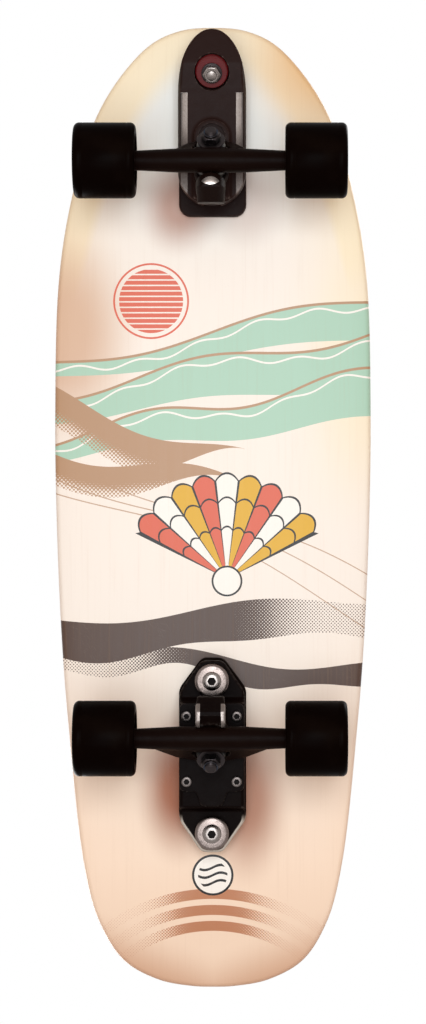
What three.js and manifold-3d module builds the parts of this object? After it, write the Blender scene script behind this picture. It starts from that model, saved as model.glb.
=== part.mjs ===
// A surf skateboard standing on its wheels: a laminated deck on two reverse-kingpin trucks.
// The front truck hangs from a swing arm that steers, the rear one from a plate that tilts.
// Millimetres, +Z up, +Y towards the nose. The wheels stand on z = 0, midway along the deck.

import * as THREE from 'three';
import { ConvexGeometry } from 'three/addons/geometries/ConvexGeometry.js';
import { mergeVertices } from 'three/addons/utils/BufferGeometryUtils.js';
import Module from 'manifold-3d';

const wasm = await Module();
wasm.setup();

// Driving dimensions

// Gap left between pieces that touch, and how far a cutting tool runs past what it cuts.
const clearance = 0.3;
const overrun = 4;

const deck = {
  length: 814,
  width: 267,
  thickness: 11,
  railRadius: 4.4,
  concaveDepth: 5,
  flatHalfWidth: 36,
  kickLength: 115,
  kickBlend: 60,
  kickSlope: 0.29,
};

// Half outline from nose to tail: [share of the half width, share of the half length].
const outlineShares = [
  [0, 1], [0.2, 0.994], [0.39, 0.966], [0.605, 0.89], [0.765, 0.795], [0.9, 0.64],
  [0.977, 0.475], [1, 0.2], [0.99, -0.03], [0.957, -0.275], [0.915, -0.45], [0.818, -0.734],
  [0.722, -0.859], [0.57, -0.942], [0.35, -0.984], [0.14, -0.998], [0, -1],
];
// Where the deck's inner rings lie between its centre line and its rail.
const ringShares = [0.26, 0.62];
const spineShare = 0.87;

const grip = { thickness: 0.8, screwHole: 5.2 };

const screw = { shank: 2.4, hole: 2.8, head: 4.6, headHeight: 2.6, spanX: 41.3, spanY: 53.9 };
const screwNut = { acrossFlats: 8.7, height: 4, pocket: 5.6 };

const wheel = {
  diameter: 61,
  width: 50,
  lip: 4.5,
  dishRadius: 19,
  dishDepth: 3.5,
  mouthRadius: 13,
  shelfRadius: 8.2,
};
const bearing = { radius: 11, width: 7, apart: 10, spacerRadius: 5.6 };
const axle = { radius: 3.97, halfLength: 107.2, proud: 1.1, washerRadius: 6.2, washer: 1 };
const axleNut = { acrossFlats: 12.7, height: 7.4 };

const truck = {
  height: 54,
  barMiddle: 9.8,
  barEnd: 8,
  barCollar: 8.7,
  collarLength: 9,
  steerAngle: 40,
  ringOut: 8,
  ringRise: 26,
  ringRadius: 17.5,
  ringThickness: 10,
  ringBore: 8.2,
  ringSeat: 2,
  leanRoom: 9.5,
  saddleHalf: 25,
  webHalf: 56,
  webShoulder: 28,
  webOut: 11.5,
  webThickness: 5,
};
const kingpin = {
  radius: 4.75,
  headFlats: 14.3,
  headHeight: 5.4,
  underHead: 7,
  nutFlats: 14.3,
  nutHeight: 8,
  thread: 2,
};
const bushing = { radius: 12.2, coneTip: 10.2, barrelHeight: 13.6, coneHeight: 11.8, bulge: 0.8 };
const cupWasher = { thickness: 1.6, rim: 1.2, rimWidth: 1.6, overhang: 0.9 };
const pivot = {
  reach: 35.5,
  pinRadius: 5.9,
  cupWall: 2.2,
  cupBefore: 2.2,
  cupBeyond: 2.6,
  housingWall: 3.3,
  housingBack: 2.6,
  toeRise: 19.5,
  shoeDepth: 14,
  shoeEnd: 4,
  windowHalf: 8,
  windowWall: 1.5,
};
const truckBase = {
  plate: 6,
  halfWidth: 27,
  front: 48,
  back: 25,
  corner: 6,
  tongueHalf: 13,
  tongueTip: 9,
  tongueLength: 12,
  blockHalf: 12.5,
  seatRadius: 14.2,
  legGap: 11,
  legTop: 31,
  fillet: 1.4,
  screwCentre: 12.5,
};
const truckScrew = {
  shank: 2.4,
  headRadius: 4.3,
  headHeight: 4.2,
  socketFlats: 4,
  socketDepth: 2.4,
  length: 18,
};

const adapter = { height: 43, halfWidth: 28.2, basePlate: 8 };

const arm = {
  noseToAxle: 125,
  thickness: 26.5,
  tipY: 113,
  shoulderY: 64,
  tipShare: 0.62,
  chamfer: 5.6,
  tailTaper: 6,
  padHalf: 15,
  padFront: 40,
  padDrop: 3,
  beakTop: 36,
  beakBottom: 27,
};
const swing = {
  angle: 65,
  y: 86,
  belowDeck: 31.5,
  boltRadius: 4,
  boreSlack: 0.6,
  nutFlats: 13,
  nutHeight: 6.5,
  headHeight: 5.3,
  headPocket: 8.4,
  bushingRadius: 14,
  upperBushing: 7.6,
  lowerBushing: 11,
  armAbove: 9,
  armBelow: 13,
  recessDepth: 7,
  washerRadius: 8.6,
  washer: 1.6,
  pedestal: 8,
  pedestalRadius: 15.5,
};
const frontBase = { tailY: -35.6, tipY: 112, shoulderY: 66, corner: 10, screwCentre: 30, edge: 1.5 };

const tilt = {
  tailToAxle: 222.3,
  noseEnd: 60.5,
  tailEnd: 101.5,
  endHalf: 9,
  endTaper: 26,
  boltNose: 42.9,
  boltTail: 83.4,
  basePlate: 10,
  upperBushing: 11,
  endThickness: 8,
  lowerBushing: 10,
  bushingRadius: 13,
  boltRadius: 5,
  boltHead: 7.8,
  headHeight: 4.4,
  socketFlats: 6,
  socketDepth: 3,
  washerRadius: 14,
  boreSlack: 2.4,
  humpNose: 25,
  humpTail: 62,
  humpSlope: 3,
  inset: 1.2,
  chamfer: 2.2,
  flankDepth: 5,
  flankHeight: 9,
};

// Number of sides of what is round, by size, and of steps along the longer curves.
const sides = { tiny: 8, small: 12, medium: 16, wheel: 20 };
const segments = { outlineCount: 24, lipCount: 2, railCount: 3, planCount: 6, cornerCount: 2 };

// Heights and places that follow from the driving dimensions

const wheelRadius = wheel.diameter / 2;
const deckUnderside = wheelRadius + truck.height + adapter.height;
const seatHeight = truck.height;
const deckSeat = truck.height + adapter.height - clearance;
const frontAxleY = deck.length / 2 - arm.noseToAxle;
const rearAxleY = tilt.tailToAxle - deck.length / 2;
const bearingSpan = 2 * bearing.width + bearing.apart;
const nutStart = axle.halfLength - axle.proud - axleNut.height - axle.washer;
const bearingStart = nutStart - clearance - bearingSpan;
const wheelCentre = bearingStart + bearingSpan / 2;
const hangerGap = bearingStart - clearance - axle.washer;
const hangerHalf = hangerGap - clearance;
const steer = THREE.MathUtils.degToRad(truck.steerAngle);
const ringHalf = truck.ringThickness / 2;
const seatInRing = ringHalf - truck.ringSeat;
const kingpinSeat = seatInRing + bushing.barrelHeight + 2 * clearance;
const kingpinUnderHead = kingpinSeat + kingpin.underHead;
const coneEnd = seatInRing + clearance + bushing.coneHeight;
const washerEnd = coneEnd + clearance + cupWasher.thickness;
const nutEnd = washerEnd + clearance + kingpin.nutHeight;
const cupRadius = pivot.pinRadius + clearance + pivot.cupWall;
const cupDepth = pivot.reach + pivot.pinRadius + clearance;
const housingRadius = cupRadius + clearance + pivot.housingWall;
const housingFace = pivot.reach - pivot.cupBefore;
const housingEnd = cupDepth + pivot.cupBeyond + clearance + pivot.housingBack;

// Colours of the finishes

const finishes = {
  maple: { color: 0xc9a06a, roughness: 0.45, metalness: 0 },
  gripTape: { color: 0x1b1b1c, roughness: 0.95, metalness: 0 },
  casting: { color: 0x1d1e20, roughness: 0.5, metalness: 0.3 },
  steel: { color: 0xb9bcc0, roughness: 0.3, metalness: 1 },
  redUrethane: { color: 0xb3202a, roughness: 0.4, metalness: 0 },
  blackUrethane: { color: 0x151515, roughness: 0.35, metalness: 0 },
  cupPlastic: { color: 0x262626, roughness: 0.6, metalness: 0 },
};
const materials = Object.fromEntries(
  Object.entries(finishes).map(([name, look]) => [name, new THREE.MeshStandardMaterial(look)]),
);

// Solids and meshes

// The closed solid that a geometry's triangles bound.
function solid(geometry) {
  const bare = new THREE.BufferGeometry();
  bare.setAttribute('position', geometry.getAttribute('position').clone());
  if (geometry.index) bare.setIndex(geometry.index.clone());
  const merged = mergeVertices(bare);
  const corners = merged.index.array;
  const kept = [];
  for (let i = 0; i < corners.length; i += 3) {
    const [a, b, c] = [corners[i], corners[i + 1], corners[i + 2]];
    if (a !== b && b !== c && a !== c) kept.push(a, b, c);
  }
  return new wasm.Manifold(new wasm.Mesh({
    numProp: 3,
    vertProperties: new Float32Array(merged.getAttribute('position').array),
    triVerts: new Uint32Array(kept),
  }));
}

function join(...solids) {
  return solids.reduce((whole, next) => whole.add(next));
}

function cut(body, ...tools) {
  return tools.reduce((left, tool) => left.subtract(tool), body);
}

// A named mesh of a finished solid.
function piece(name, body, finish) {
  const mesh = body.getMesh();
  const geometry = new THREE.BufferGeometry();
  const positions = new Float32Array(mesh.vertProperties);
  geometry.setAttribute('position', new THREE.BufferAttribute(positions, 3));
  geometry.setIndex(new THREE.BufferAttribute(new Uint32Array(mesh.triVerts), 1));
  geometry.computeVertexNormals();
  const named = new THREE.Mesh(geometry, materials[finish]);
  named.name = name;
  return named;
}

// Matrices that lay a shape's own X and Y along other axes.
const toSideView = new THREE.Matrix4().makeBasis(
  new THREE.Vector3(0, 1, 0),
  new THREE.Vector3(0, 0, 1),
  new THREE.Vector3(1, 0, 0),
);
const toEndView = new THREE.Matrix4().makeBasis(
  new THREE.Vector3(1, 0, 0),
  new THREE.Vector3(0, 0, 1),
  new THREE.Vector3(0, -1, 0),
);

function at(x, y, z) {
  return new THREE.Matrix4().makeTranslation(x, y, z);
}

// The frame of something tilted about X: its Y is the raised axis, its Z leans back from it.
function tilted(angle, y, z) {
  return at(0, y, z).multiply(new THREE.Matrix4().makeRotationX(angle));
}

function shapeOf(points) {
  return new THREE.Shape(points.map(([x, y]) => new THREE.Vector2(x, y)));
}

// A flat shape made thick along Z from z = low to z = high.
function slab(shape, low, high, curveSegments = segments.planCount) {
  const depth = high - low;
  const geometry = new THREE.ExtrudeGeometry(shape, { depth, bevelEnabled: false, curveSegments });
  return geometry.applyMatrix4(at(0, 0, low));
}

// A side view in (y, z) made thick along X, the same each way from the middle.
function sideSlab(points, half) {
  return slab(shapeOf(points), -half, half).applyMatrix4(toSideView);
}

// An end view in (x, z) made thick along Y from y = low to y = high.
function endSlab(points, low, high) {
  return slab(shapeOf(points), -high, -low).applyMatrix4(toEndView);
}

// A profile of [radius, height] turned about Z, from its low end to its high end.
function turned(profile, count) {
  const points = profile.map(([radius, height]) => new THREE.Vector2(radius, height));
  return new THREE.LatheGeometry(points, count).rotateX(Math.PI / 2);
}

// A profile that closes on itself, turned about Z.
function turnedRing(profile, count) {
  return turned([...profile, profile[0]], count);
}

function rod(radius, low, high, count) {
  return turned([[0, low], [radius, low], [radius, high], [0, high]], count);
}

function sleeve(inner, outer, low, high, count) {
  return turnedRing([[inner, low], [outer, low], [outer, high], [inner, high]], count);
}

function hexagon(acrossFlats, low, high) {
  return rod(acrossFlats / Math.sqrt(3), low, high, 6);
}

// The same geometry laid along X instead of Z.
function alongX(geometry) {
  return geometry.rotateY(Math.PI / 2);
}

// The same geometry laid along -Y instead of Z.
function alongBack(geometry) {
  return geometry.rotateX(Math.PI / 2);
}

// Points on a circle about Z, for hulls.
function circle(radius, height, count) {
  return Array.from({ length: count }, (_, i) => {
    const turn = (i / count) * 2 * Math.PI;
    return new THREE.Vector3(radius * Math.cos(turn), radius * Math.sin(turn), height);
  });
}

function moved(points, matrix) {
  return points.map((point) => point.clone().applyMatrix4(matrix));
}

// The convex solid around sets of points.
function hull(...pointSets) {
  return solid(new ConvexGeometry(pointSets.flat()));
}

// Corners of a slab outline with a rounded corner at each [x, y, radius].
function roundedShape(corners) {
  const shape = new THREE.Shape();
  corners.forEach(([x, y, radius], i) => {
    const corner = new THREE.Vector2(x, y);
    const before = new THREE.Vector2(...corners.at(i - 1).slice(0, 2));
    const after = new THREE.Vector2(...corners[(i + 1) % corners.length].slice(0, 2));
    const start = corner.clone().add(before.sub(corner).setLength(radius));
    const end = corner.clone().add(after.sub(corner).setLength(radius));
    if (i === 0) shape.moveTo(start.x, start.y);
    else shape.lineTo(start.x, start.y);
    shape.quadraticCurveTo(corner.x, corner.y, end.x, end.y);
  });
  shape.closePath();
  return shape;
}

// Deck and grip tape

// How far the deck's surface lies above its flat middle at a place.
function deckRise(x, y) {
  const beyond = Math.max(0, Math.abs(x) - deck.flatHalfWidth);
  const share = beyond / (deck.width / 2 - deck.flatHalfWidth);
  const concave = deck.concaveDepth * share * share;
  const run = Math.max(0, deck.kickLength - deck.length / 2 - y);
  const bent = Math.min(run, deck.kickBlend);
  const kick = deck.kickSlope * (bent * bent / (2 * deck.kickBlend) + (run - bent));
  return concave + kick;
}

// The closed outline of the deck, from the nose down the right side and back up the left.
function deckOutline() {
  const halfWidth = deck.width / 2;
  const halfLength = deck.length / 2;
  const right = outlineShares.map(([x, y]) => [x * halfWidth, y * halfLength]);
  const left = right.slice(1, -1).reverse().map(([x, y]) => [-x, y]);
  const corners = [...right, ...left].map(([x, y]) => new THREE.Vector3(x, y, 0));
  const curve = new THREE.CatmullRomCurve3(corners, true, 'centripetal');
  const half = curve.getPoints(2 * segments.outlineCount).slice(0, segments.outlineCount + 1);
  const mirrored = half.slice(1, -1).reverse().map((p) => new THREE.Vector3(-p.x, p.y, 0));
  half[0].x = 0;
  half[segments.outlineCount].x = 0;
  return [...half, ...mirrored];
}

// The outline drawn in by a distance along its own normals.
function insetOutline(outline, distance) {
  return outline.map((point, i) => {
    const before = outline.at(i - 1);
    const after = outline[(i + 1) % outline.length];
    const along = after.clone().sub(before).normalize();
    return new THREE.Vector3(point.x + along.y * distance, point.y - along.x * distance, 0);
  });
}

// Places on the way from the deck's centre line to its rail, by share.
function ringAt(rail, share) {
  return rail.map((point) => new THREE.Vector3(
    point.x * share,
    point.y * (spineShare + (1 - spineShare) * share),
    0,
  ));
}

// A closed skin through rings of equal count, the first and last lying on the centre line.
// Upper and lower sheets split their facets alike, so that sheets laid on each other match.
function skin(rings) {
  const count = rings[0].length;
  const isUpper = (ring) => ring < rings.length / 2;
  const positions = rings.flat().flatMap((point) => [point.x, point.y, point.z]);
  const corners = [];
  for (let r = 0; r + 1 < rings.length; r += 1) {
    for (let i = 0; i < count; i += 1) {
      const next = (i + 1) % count;
      const [a, b] = [r * count + i, r * count + next];
      const [c, d] = [a + count, b + count];
      if ((i < count / 2) === isUpper(r)) corners.push(a, d, c, a, b, d);
      else corners.push(a, b, c, b, d, c);
    }
  }
  const geometry = new THREE.BufferGeometry();
  geometry.setAttribute('position', new THREE.Float32BufferAttribute(positions, 3));
  geometry.setIndex(corners);
  return solid(geometry);
}

function lifted(ring, height) {
  return ring.map((point) => new THREE.Vector3(
    point.x,
    point.y,
    height + deckRise(point.x, point.y),
  ));
}

const outline = deckOutline();
const railInner = insetOutline(outline, deck.railRadius);

function deckSolid() {
  const shares = [0, ...ringShares];
  const top = shares.map((share) => lifted(ringAt(railInner, share), deckUnderside + deck.thickness));
  const rail = [];
  for (const side of [1, -1]) {
    const centre = deckUnderside + deck.thickness / 2
      + side * (deck.thickness / 2 - deck.railRadius);
    const arc = [];
    for (let i = 0; i < segments.railCount; i += 1) {
      const turn = (i / (segments.railCount - 1)) * (Math.PI / 2);
      const inset = deck.railRadius * (1 - Math.sin(turn));
      const height = centre + side * deck.railRadius * Math.cos(turn);
      arc.push(lifted(insetOutline(outline, inset), height));
    }
    rail.push(...(side > 0 ? arc : arc.reverse()));
  }
  const bottom = shares.map((share) => lifted(ringAt(railInner, share), deckUnderside)).reverse();
  return skin([...top, ...rail, ...bottom]);
}

function gripSolid() {
  const shares = [0, ...ringShares, 1];
  const low = deckUnderside + deck.thickness + clearance;
  const top = shares.map((share) => lifted(ringAt(railInner, share), low + grip.thickness));
  const bottom = shares.map((share) => lifted(ringAt(railInner, share), low)).reverse();
  return skin([...top, ...bottom]);
}

// The four corners of a bolt pattern about a centre in Y.
function pattern(centreY) {
  const corners = [];
  for (const x of [-screw.spanX / 2, screw.spanX / 2]) {
    for (const y of [-screw.spanY / 2, screw.spanY / 2]) corners.push([x, centreY + y]);
  }
  return corners;
}

const frontScrewY = frontAxleY + frontBase.screwCentre;
const tiltCentre = (tilt.boltTail - tilt.boltNose) / 2;
const rearScrewY = rearAxleY - tiltCentre;
const deckScrews = [
  ...pattern(frontScrewY).map(([x, y]) => ({ x, y, end: 'front' })),
  ...pattern(rearScrewY).map(([x, y]) => ({ x, y, end: 'rear' })),
];
const gripTop = deckUnderside + deck.thickness + clearance + grip.thickness;

function deckScrewSolid(plate) {
  const plateBottom = deckUnderside - clearance - plate;
  const nutLow = plateBottom + clearance;
  const profile = [
    [0, nutLow],
    [screw.shank, nutLow],
    [screw.shank, gripTop - screw.headHeight],
    [screw.head, gripTop - screw.headHeight / 4],
    [screw.head, gripTop],
    [0, gripTop],
  ];
  const nut = hexagon(screwNut.acrossFlats, nutLow, nutLow + screwNut.height);
  return join(solid(turned(profile, sides.tiny)), solid(nut));
}

function deckPieces() {
  let board = deckSolid();
  let tape = gripSolid();
  const low = deckUnderside - overrun;
  const high = gripTop + overrun;
  const headSeat = gripTop - screw.headHeight - clearance;
  for (const { x, y } of deckScrews) {
    const shank = rod(screw.hole, low, high, sides.tiny).applyMatrix4(at(x, y, 0));
    const head = rod(grip.screwHole, headSeat, high, sides.tiny).applyMatrix4(at(x, y, 0));
    board = cut(board, solid(shank), solid(head));
    tape = cut(tape, solid(head));
  }
  return [piece('deck', board, 'maple'), piece('grip_tape', tape, 'gripTape')];
}

// Wheels, bearings and axles

// A wheel about X, its middle at the origin: tread, rounded lips, dished faces, bearing seats.
function wheelSolid() {
  const half = wheel.width / 2;
  const seat = bearing.radius + clearance;
  const shelf = bearing.apart / 2 - clearance;
  const mouth = bearingSpan / 2 + clearance;
  const lipStart = wheelRadius - wheel.lip;
  const side = [
    [wheel.shelfRadius, shelf],
    [seat, shelf],
    [seat, mouth],
    [wheel.mouthRadius, mouth],
    [wheel.dishRadius, half - wheel.dishDepth],
  ];
  for (let i = 0; i <= segments.lipCount; i += 1) {
    const turn = (i / segments.lipCount) * (Math.PI / 2);
    side.push([
      lipStart + wheel.lip * Math.sin(turn),
      half - wheel.lip + wheel.lip * Math.cos(turn),
    ]);
  }
  const mirrored = side.map(([radius, height]) => [radius, -height]);
  return solid(alongX(turnedRing([...mirrored, ...side.reverse()], sides.wheel)));
}

// Two ball bearings with the spacer between them, about X.
function bearingSolid() {
  const bore = axle.radius + clearance;
  const half = bearingSpan / 2;
  const inner = bearing.apart / 2;
  const profile = [
    [bore, -half], [bearing.radius, -half], [bearing.radius, -inner], [bearing.spacerRadius, -inner],
    [bearing.spacerRadius, inner], [bearing.radius, inner], [bearing.radius, half], [bore, half],
  ];
  return solid(alongX(turnedRing(profile, sides.small)));
}

// The axle about X, with the inner speed washers as its collars.
function axleSolid() {
  const { radius, halfLength, washerRadius, washer } = axle;
  const collarEnd = hangerGap + washer;
  const right = [
    [radius, hangerGap],
    [washerRadius, hangerGap],
    [washerRadius, collarEnd],
    [radius, collarEnd],
    [radius, halfLength],
    [0, halfLength],
  ];
  const left = right.map(([r, x]) => [r, -x]).reverse();
  return solid(alongX(turned([...left, ...right], sides.small)));
}

// An axle nut with the outer speed washer under it.
function axleNutSolid() {
  const washerStop = nutStart + axle.washer;
  const body = join(
    solid(alongX(rod(axle.washerRadius, nutStart, washerStop, sides.small))),
    solid(alongX(hexagon(axleNut.acrossFlats, washerStop, washerStop + axleNut.height))),
  );
  const bore = rod(axle.radius + clearance, nutStart - overrun, axle.halfLength + overrun, sides.small);
  return cut(body, solid(alongX(bore)));
}

// Trucks, in a frame at the axle's middle with +Y outward and +Z towards the deck

// The frame of the kingpin: origin in the ring, Z up the kingpin, Y out along the steering axis.
const kingpinFrame = tilted(steer, truck.ringOut, truck.ringRise);

// A geometry laid about the steering axis, its Z from the ring towards the pivot.
function onPivot(geometry) {
  return alongBack(geometry).applyMatrix4(kingpinFrame);
}

function onKingpin(geometry) {
  return geometry.applyMatrix4(kingpinFrame);
}

// Points of a round bar along X, for hulls.
function barPoints(radius, half) {
  const end = circle(radius, 0, sides.tiny);
  const turn = new THREE.Matrix4().makeRotationY(Math.PI / 2);
  const near = moved(end, turn);
  return [
    ...near.map((point) => point.clone().setX(-half)),
    ...near.map((point) => point.clone().setX(half)),
  ];
}

// The cast bar with its ring, web and pivot pin. Under the ring it is hollowed wider along X,
// so that the washer and nut of the kingpin stay clear as the hanger leans.
function hangerSolid() {
  const half = hangerHalf;
  const collar = half - truck.collarLength;
  const side = [[0, half], [truck.barCollar, half], [truck.barCollar, collar], [truck.barEnd, collar]];
  const bar = [
    ...side.map(([radius, x]) => [radius, -x]),
    [truck.barMiddle, -truck.saddleHalf],
    [truck.barMiddle, truck.saddleHalf],
    ...side.reverse(),
  ];
  const ring = [
    ...circle(truck.ringRadius, -ringHalf, sides.medium),
    ...circle(truck.ringRadius, ringHalf, sides.medium),
  ];
  const pinRoot = moved(
    circle(pivot.pinRadius, 0, sides.tiny),
    new THREE.Matrix4().makeRotationX(Math.PI / 2).setPosition(0, -pivot.reach + 2 * pivot.pinRadius, 0),
  );
  const saddleRing = ring.map((point) => point.clone().setZ(point.z * truck.ringBore / truck.ringRadius));
  const { webShoulder, webOut, webThickness, webHalf } = truck;
  const shoulders = [-webShoulder, webShoulder].flatMap((x) => [
    new THREE.Vector3(x, webOut, -webThickness / 2),
    new THREE.Vector3(x, webOut, webThickness / 2),
  ]);
  const body = join(
    solid(alongX(turned(bar, sides.small))),
    hull(moved(ring, kingpinFrame)),
    hull(moved(saddleRing, kingpinFrame), barPoints(truck.barMiddle - clearance, truck.saddleHalf / 2)),
    hull(moved([...shoulders, ...saddleRing], kingpinFrame), barPoints(webThickness, webShoulder)),
    hull(moved(shoulders, kingpinFrame), barPoints(webThickness, webHalf)),
    hull(moved(pinRoot, kingpinFrame), barPoints(truck.barEnd, truck.barEnd)),
    solid(onPivot(pinGeometry())),
  );
  const bore = axle.radius + clearance;
  const seat = bushing.radius + bushing.bulge + clearance;
  const relief = circle(seat, -nutEnd - overrun, sides.medium)
    .map((point) => point.clone().setX(point.x * (seat + truck.leanRoom) / seat));
  return cut(
    body,
    solid(alongX(rod(bore, -half - overrun, half + overrun, sides.small))),
    solid(onKingpin(rod(truck.ringBore, -nutEnd, kingpinSeat, sides.small))),
    solid(onKingpin(rod(seat, seatInRing, kingpinSeat, sides.medium))),
    hull(moved(circle(seat, -seatInRing, sides.medium), kingpinFrame), moved(relief, kingpinFrame)),
  );
}

// The pivot pin: a rod from the saddle with a ball end.
function pinGeometry() {
  const profile = [[0, truck.ringRadius], [pivot.pinRadius, truck.ringRadius]];
  for (let i = 0; i <= segments.lipCount; i += 1) {
    const turn = (i / segments.lipCount) * (Math.PI / 2);
    profile.push([pivot.pinRadius * Math.cos(turn), pivot.reach + pivot.pinRadius * Math.sin(turn)]);
  }
  return turned(profile, sides.small);
}

function pivotCupSolid() {
  const bore = pivot.pinRadius + clearance;
  return cut(
    solid(onPivot(rod(cupRadius, housingFace, cupDepth + pivot.cupBeyond, sides.medium))),
    solid(onPivot(rod(bore, housingFace - overrun, cupDepth, sides.small))),
  );
}

function kingpinSolid() {
  const head = hexagon(kingpin.headFlats, kingpinUnderHead, kingpinUnderHead + kingpin.headHeight);
  const shank = rod(kingpin.radius, -nutEnd - kingpin.thread, kingpinUnderHead + clearance, sides.small);
  return join(solid(onKingpin(head)), solid(onKingpin(shank)));
}

function kingpinNutSolid() {
  const nut = hexagon(kingpin.nutFlats, -nutEnd, -nutEnd + kingpin.nutHeight);
  const bore = rod(kingpin.radius + clearance, -nutEnd - overrun, 0, sides.small);
  return cut(solid(onKingpin(nut)), solid(onKingpin(bore)));
}

// A washer about Z whose rim turns up over the bushing that sits on it.
function cupProfile(bore, radius, low) {
  const face = low + cupWasher.thickness;
  const lip = face + cupWasher.rim;
  return [
    [bore, low],
    [radius - cupWasher.rimWidth, low],
    [radius, face],
    [radius, lip],
    [radius - cupWasher.rimWidth, lip],
    [radius - cupWasher.rimWidth, face],
    [bore, face],
  ];
}

function kingpinWasherSolid() {
  const radius = bushing.coneTip + clearance + cupWasher.overhang;
  const profile = [
    [kingpin.radius + clearance, -washerEnd],
    [radius, -washerEnd],
    [radius, -washerEnd + cupWasher.thickness],
    [kingpin.radius + clearance, -washerEnd + cupWasher.thickness],
  ];
  return solid(onKingpin(turnedRing(profile, sides.small)));
}

// A urethane bushing about Z that swells at its middle.
function bushingProfile(bore, lowRadius, highRadius, low, high) {
  const swell = (lowRadius + highRadius) / 2 + bushing.bulge;
  return [[bore, low], [lowRadius, low], [swell, (low + high) / 2], [highRadius, high], [bore, high]];
}

function barrelBushingSolid() {
  const low = seatInRing + clearance;
  const bore = kingpin.radius + clearance;
  const high = low + bushing.barrelHeight;
  const profile = bushingProfile(bore, bushing.radius, bushing.radius, low, high);
  return solid(onKingpin(turnedRing(profile, sides.small)));
}

function coneBushingSolid() {
  const high = -seatInRing - clearance;
  const bore = kingpin.radius + clearance;
  const profile = bushingProfile(bore, bushing.coneTip, bushing.radius, -coneEnd, high);
  return solid(onKingpin(turnedRing(profile, sides.small)));
}

// A point of the side view, given by its places along the steering axis and up the kingpin.
function onAxes(along, up) {
  const point = new THREE.Vector3(0, along, up).applyMatrix4(kingpinFrame);
  return [point.y, point.z];
}

// A squared shoe under the pivot housing.
function pivotShoe() {
  return solid(sideSlab([
    onAxes(-housingEnd, 0),
    onAxes(-housingEnd, -pivot.shoeDepth),
    onAxes(-housingFace, -pivot.shoeDepth),
    onAxes(-housingFace, 0),
  ], housingRadius));
}

// The window between the shoe's two ribs, as deep as the wall of the cup allows.
function shoeWindow() {
  const end = -housingEnd + pivot.shoeEnd;
  const floor = -cupRadius - clearance - pivot.windowWall;
  return solid(sideSlab([
    onAxes(end, floor),
    onAxes(end, -pivot.shoeDepth - overrun),
    onAxes(-housingFace + overrun, -pivot.shoeDepth - overrun),
    onAxes(-housingFace + overrun, floor),
  ], pivot.windowHalf));
}

// The block under the seat that holds the kingpin, with the leg and housing of the pivot cup and
// what else stands on it, cut off flat at the toe.
function truckBlock(...extras) {
  const rootZ = seatHeight - truckBase.plate / 2;
  const legLow = truckBase.legGap;
  const seat = truckBase.seatRadius;
  const backTop = -truckBase.back + truckBase.fillet;
  const block = sideSlab([
    [backTop, rootZ],
    [-truckBase.legTop, seatHeight / 2],
    onAxes(-housingEnd, housingRadius),
    onAxes(-housingEnd, 0),
    onAxes(-housingFace, 0),
    onAxes(-housingFace, legLow),
    onAxes(-truck.ringRadius - clearance, legLow),
    onAxes(-seat, kingpinSeat),
    onAxes(seat, kingpinSeat),
    [truck.ringOut + seat / 2, rootZ],
  ], truckBase.blockHalf - truckBase.fillet);
  const housing = onPivot(rod(housingRadius, housingFace, housingEnd, sides.medium));
  const boss = onKingpin(rod(seat, kingpinSeat, kingpinUnderHead, sides.medium));
  const toe = new THREE.BoxGeometry(deck.width, deck.width, wheelRadius)
    .applyMatrix4(at(0, 0, pivot.toeRise - wheelRadius - wheelRadius / 2));
  return cut(join(solid(block), solid(boss), solid(housing), ...extras), solid(toe));
}

// What the kingpin, its head, the tools and the pivot cup take out of a truck base.
function truckBaseCuts(top) {
  const pocket = kingpin.headFlats / Math.sqrt(3) + clearance;
  const cupEnd = housingEnd - pivot.housingBack;
  const cup = rod(cupRadius + clearance, housingFace - overrun, cupEnd, sides.medium);
  return [
    solid(onKingpin(rod(kingpin.radius + clearance, 0, kingpinUnderHead + overrun, sides.small))),
    solid(onKingpin(rod(pocket, kingpinUnderHead - clearance, top, sides.small))),
    solid(onPivot(cup)),
  ];
}

// Front adapter, in the front truck's frame

const swingAngle = THREE.MathUtils.degToRad(swing.angle);
const armBottom = seatHeight;
const armTop = armBottom + arm.thickness;

// The frame of the swing bolt: its Z runs up the bolt towards the deck and the nose.
const swingFrame = tilted(swingAngle - Math.PI / 2, swing.y, seatHeight + adapter.height - swing.belowDeck);
const pedestalFace = swing.armAbove + swing.upperBushing + 2 * clearance;
const swingHead = pedestalFace + swing.pedestal;
const recessFloor = -swing.armBelow + swing.recessDepth;
const lowerBushingEnd = recessFloor - clearance - swing.lowerBushing;
const swingWasherEnd = lowerBushingEnd - clearance - swing.washer;
const swingNutEnd = swingWasherEnd - clearance - swing.nutHeight;

function onSwing(geometry) {
  return geometry.applyMatrix4(swingFrame);
}

// A point of the side view, given by its places across and up the swing bolt.
function bySwing(across, up) {
  const point = new THREE.Vector3(0, across, up).applyMatrix4(swingFrame);
  return [point.y, point.z];
}

// The plan of an arm or base: straight sides, a pointed arch at the nose, a chosen tail.
function archShape(half, shoulderY, tipY, drawTail) {
  const shape = new THREE.Shape();
  const rise = tipY - shoulderY;
  shape.moveTo(half, shoulderY);
  shape.bezierCurveTo(half, shoulderY + rise * arm.tipShare, half / 2, tipY, 0, tipY);
  shape.bezierCurveTo(-half / 2, tipY, -half, shoulderY + rise * arm.tipShare, -half, shoulderY);
  drawTail(shape);
  shape.closePath();
  return shape;
}

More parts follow.
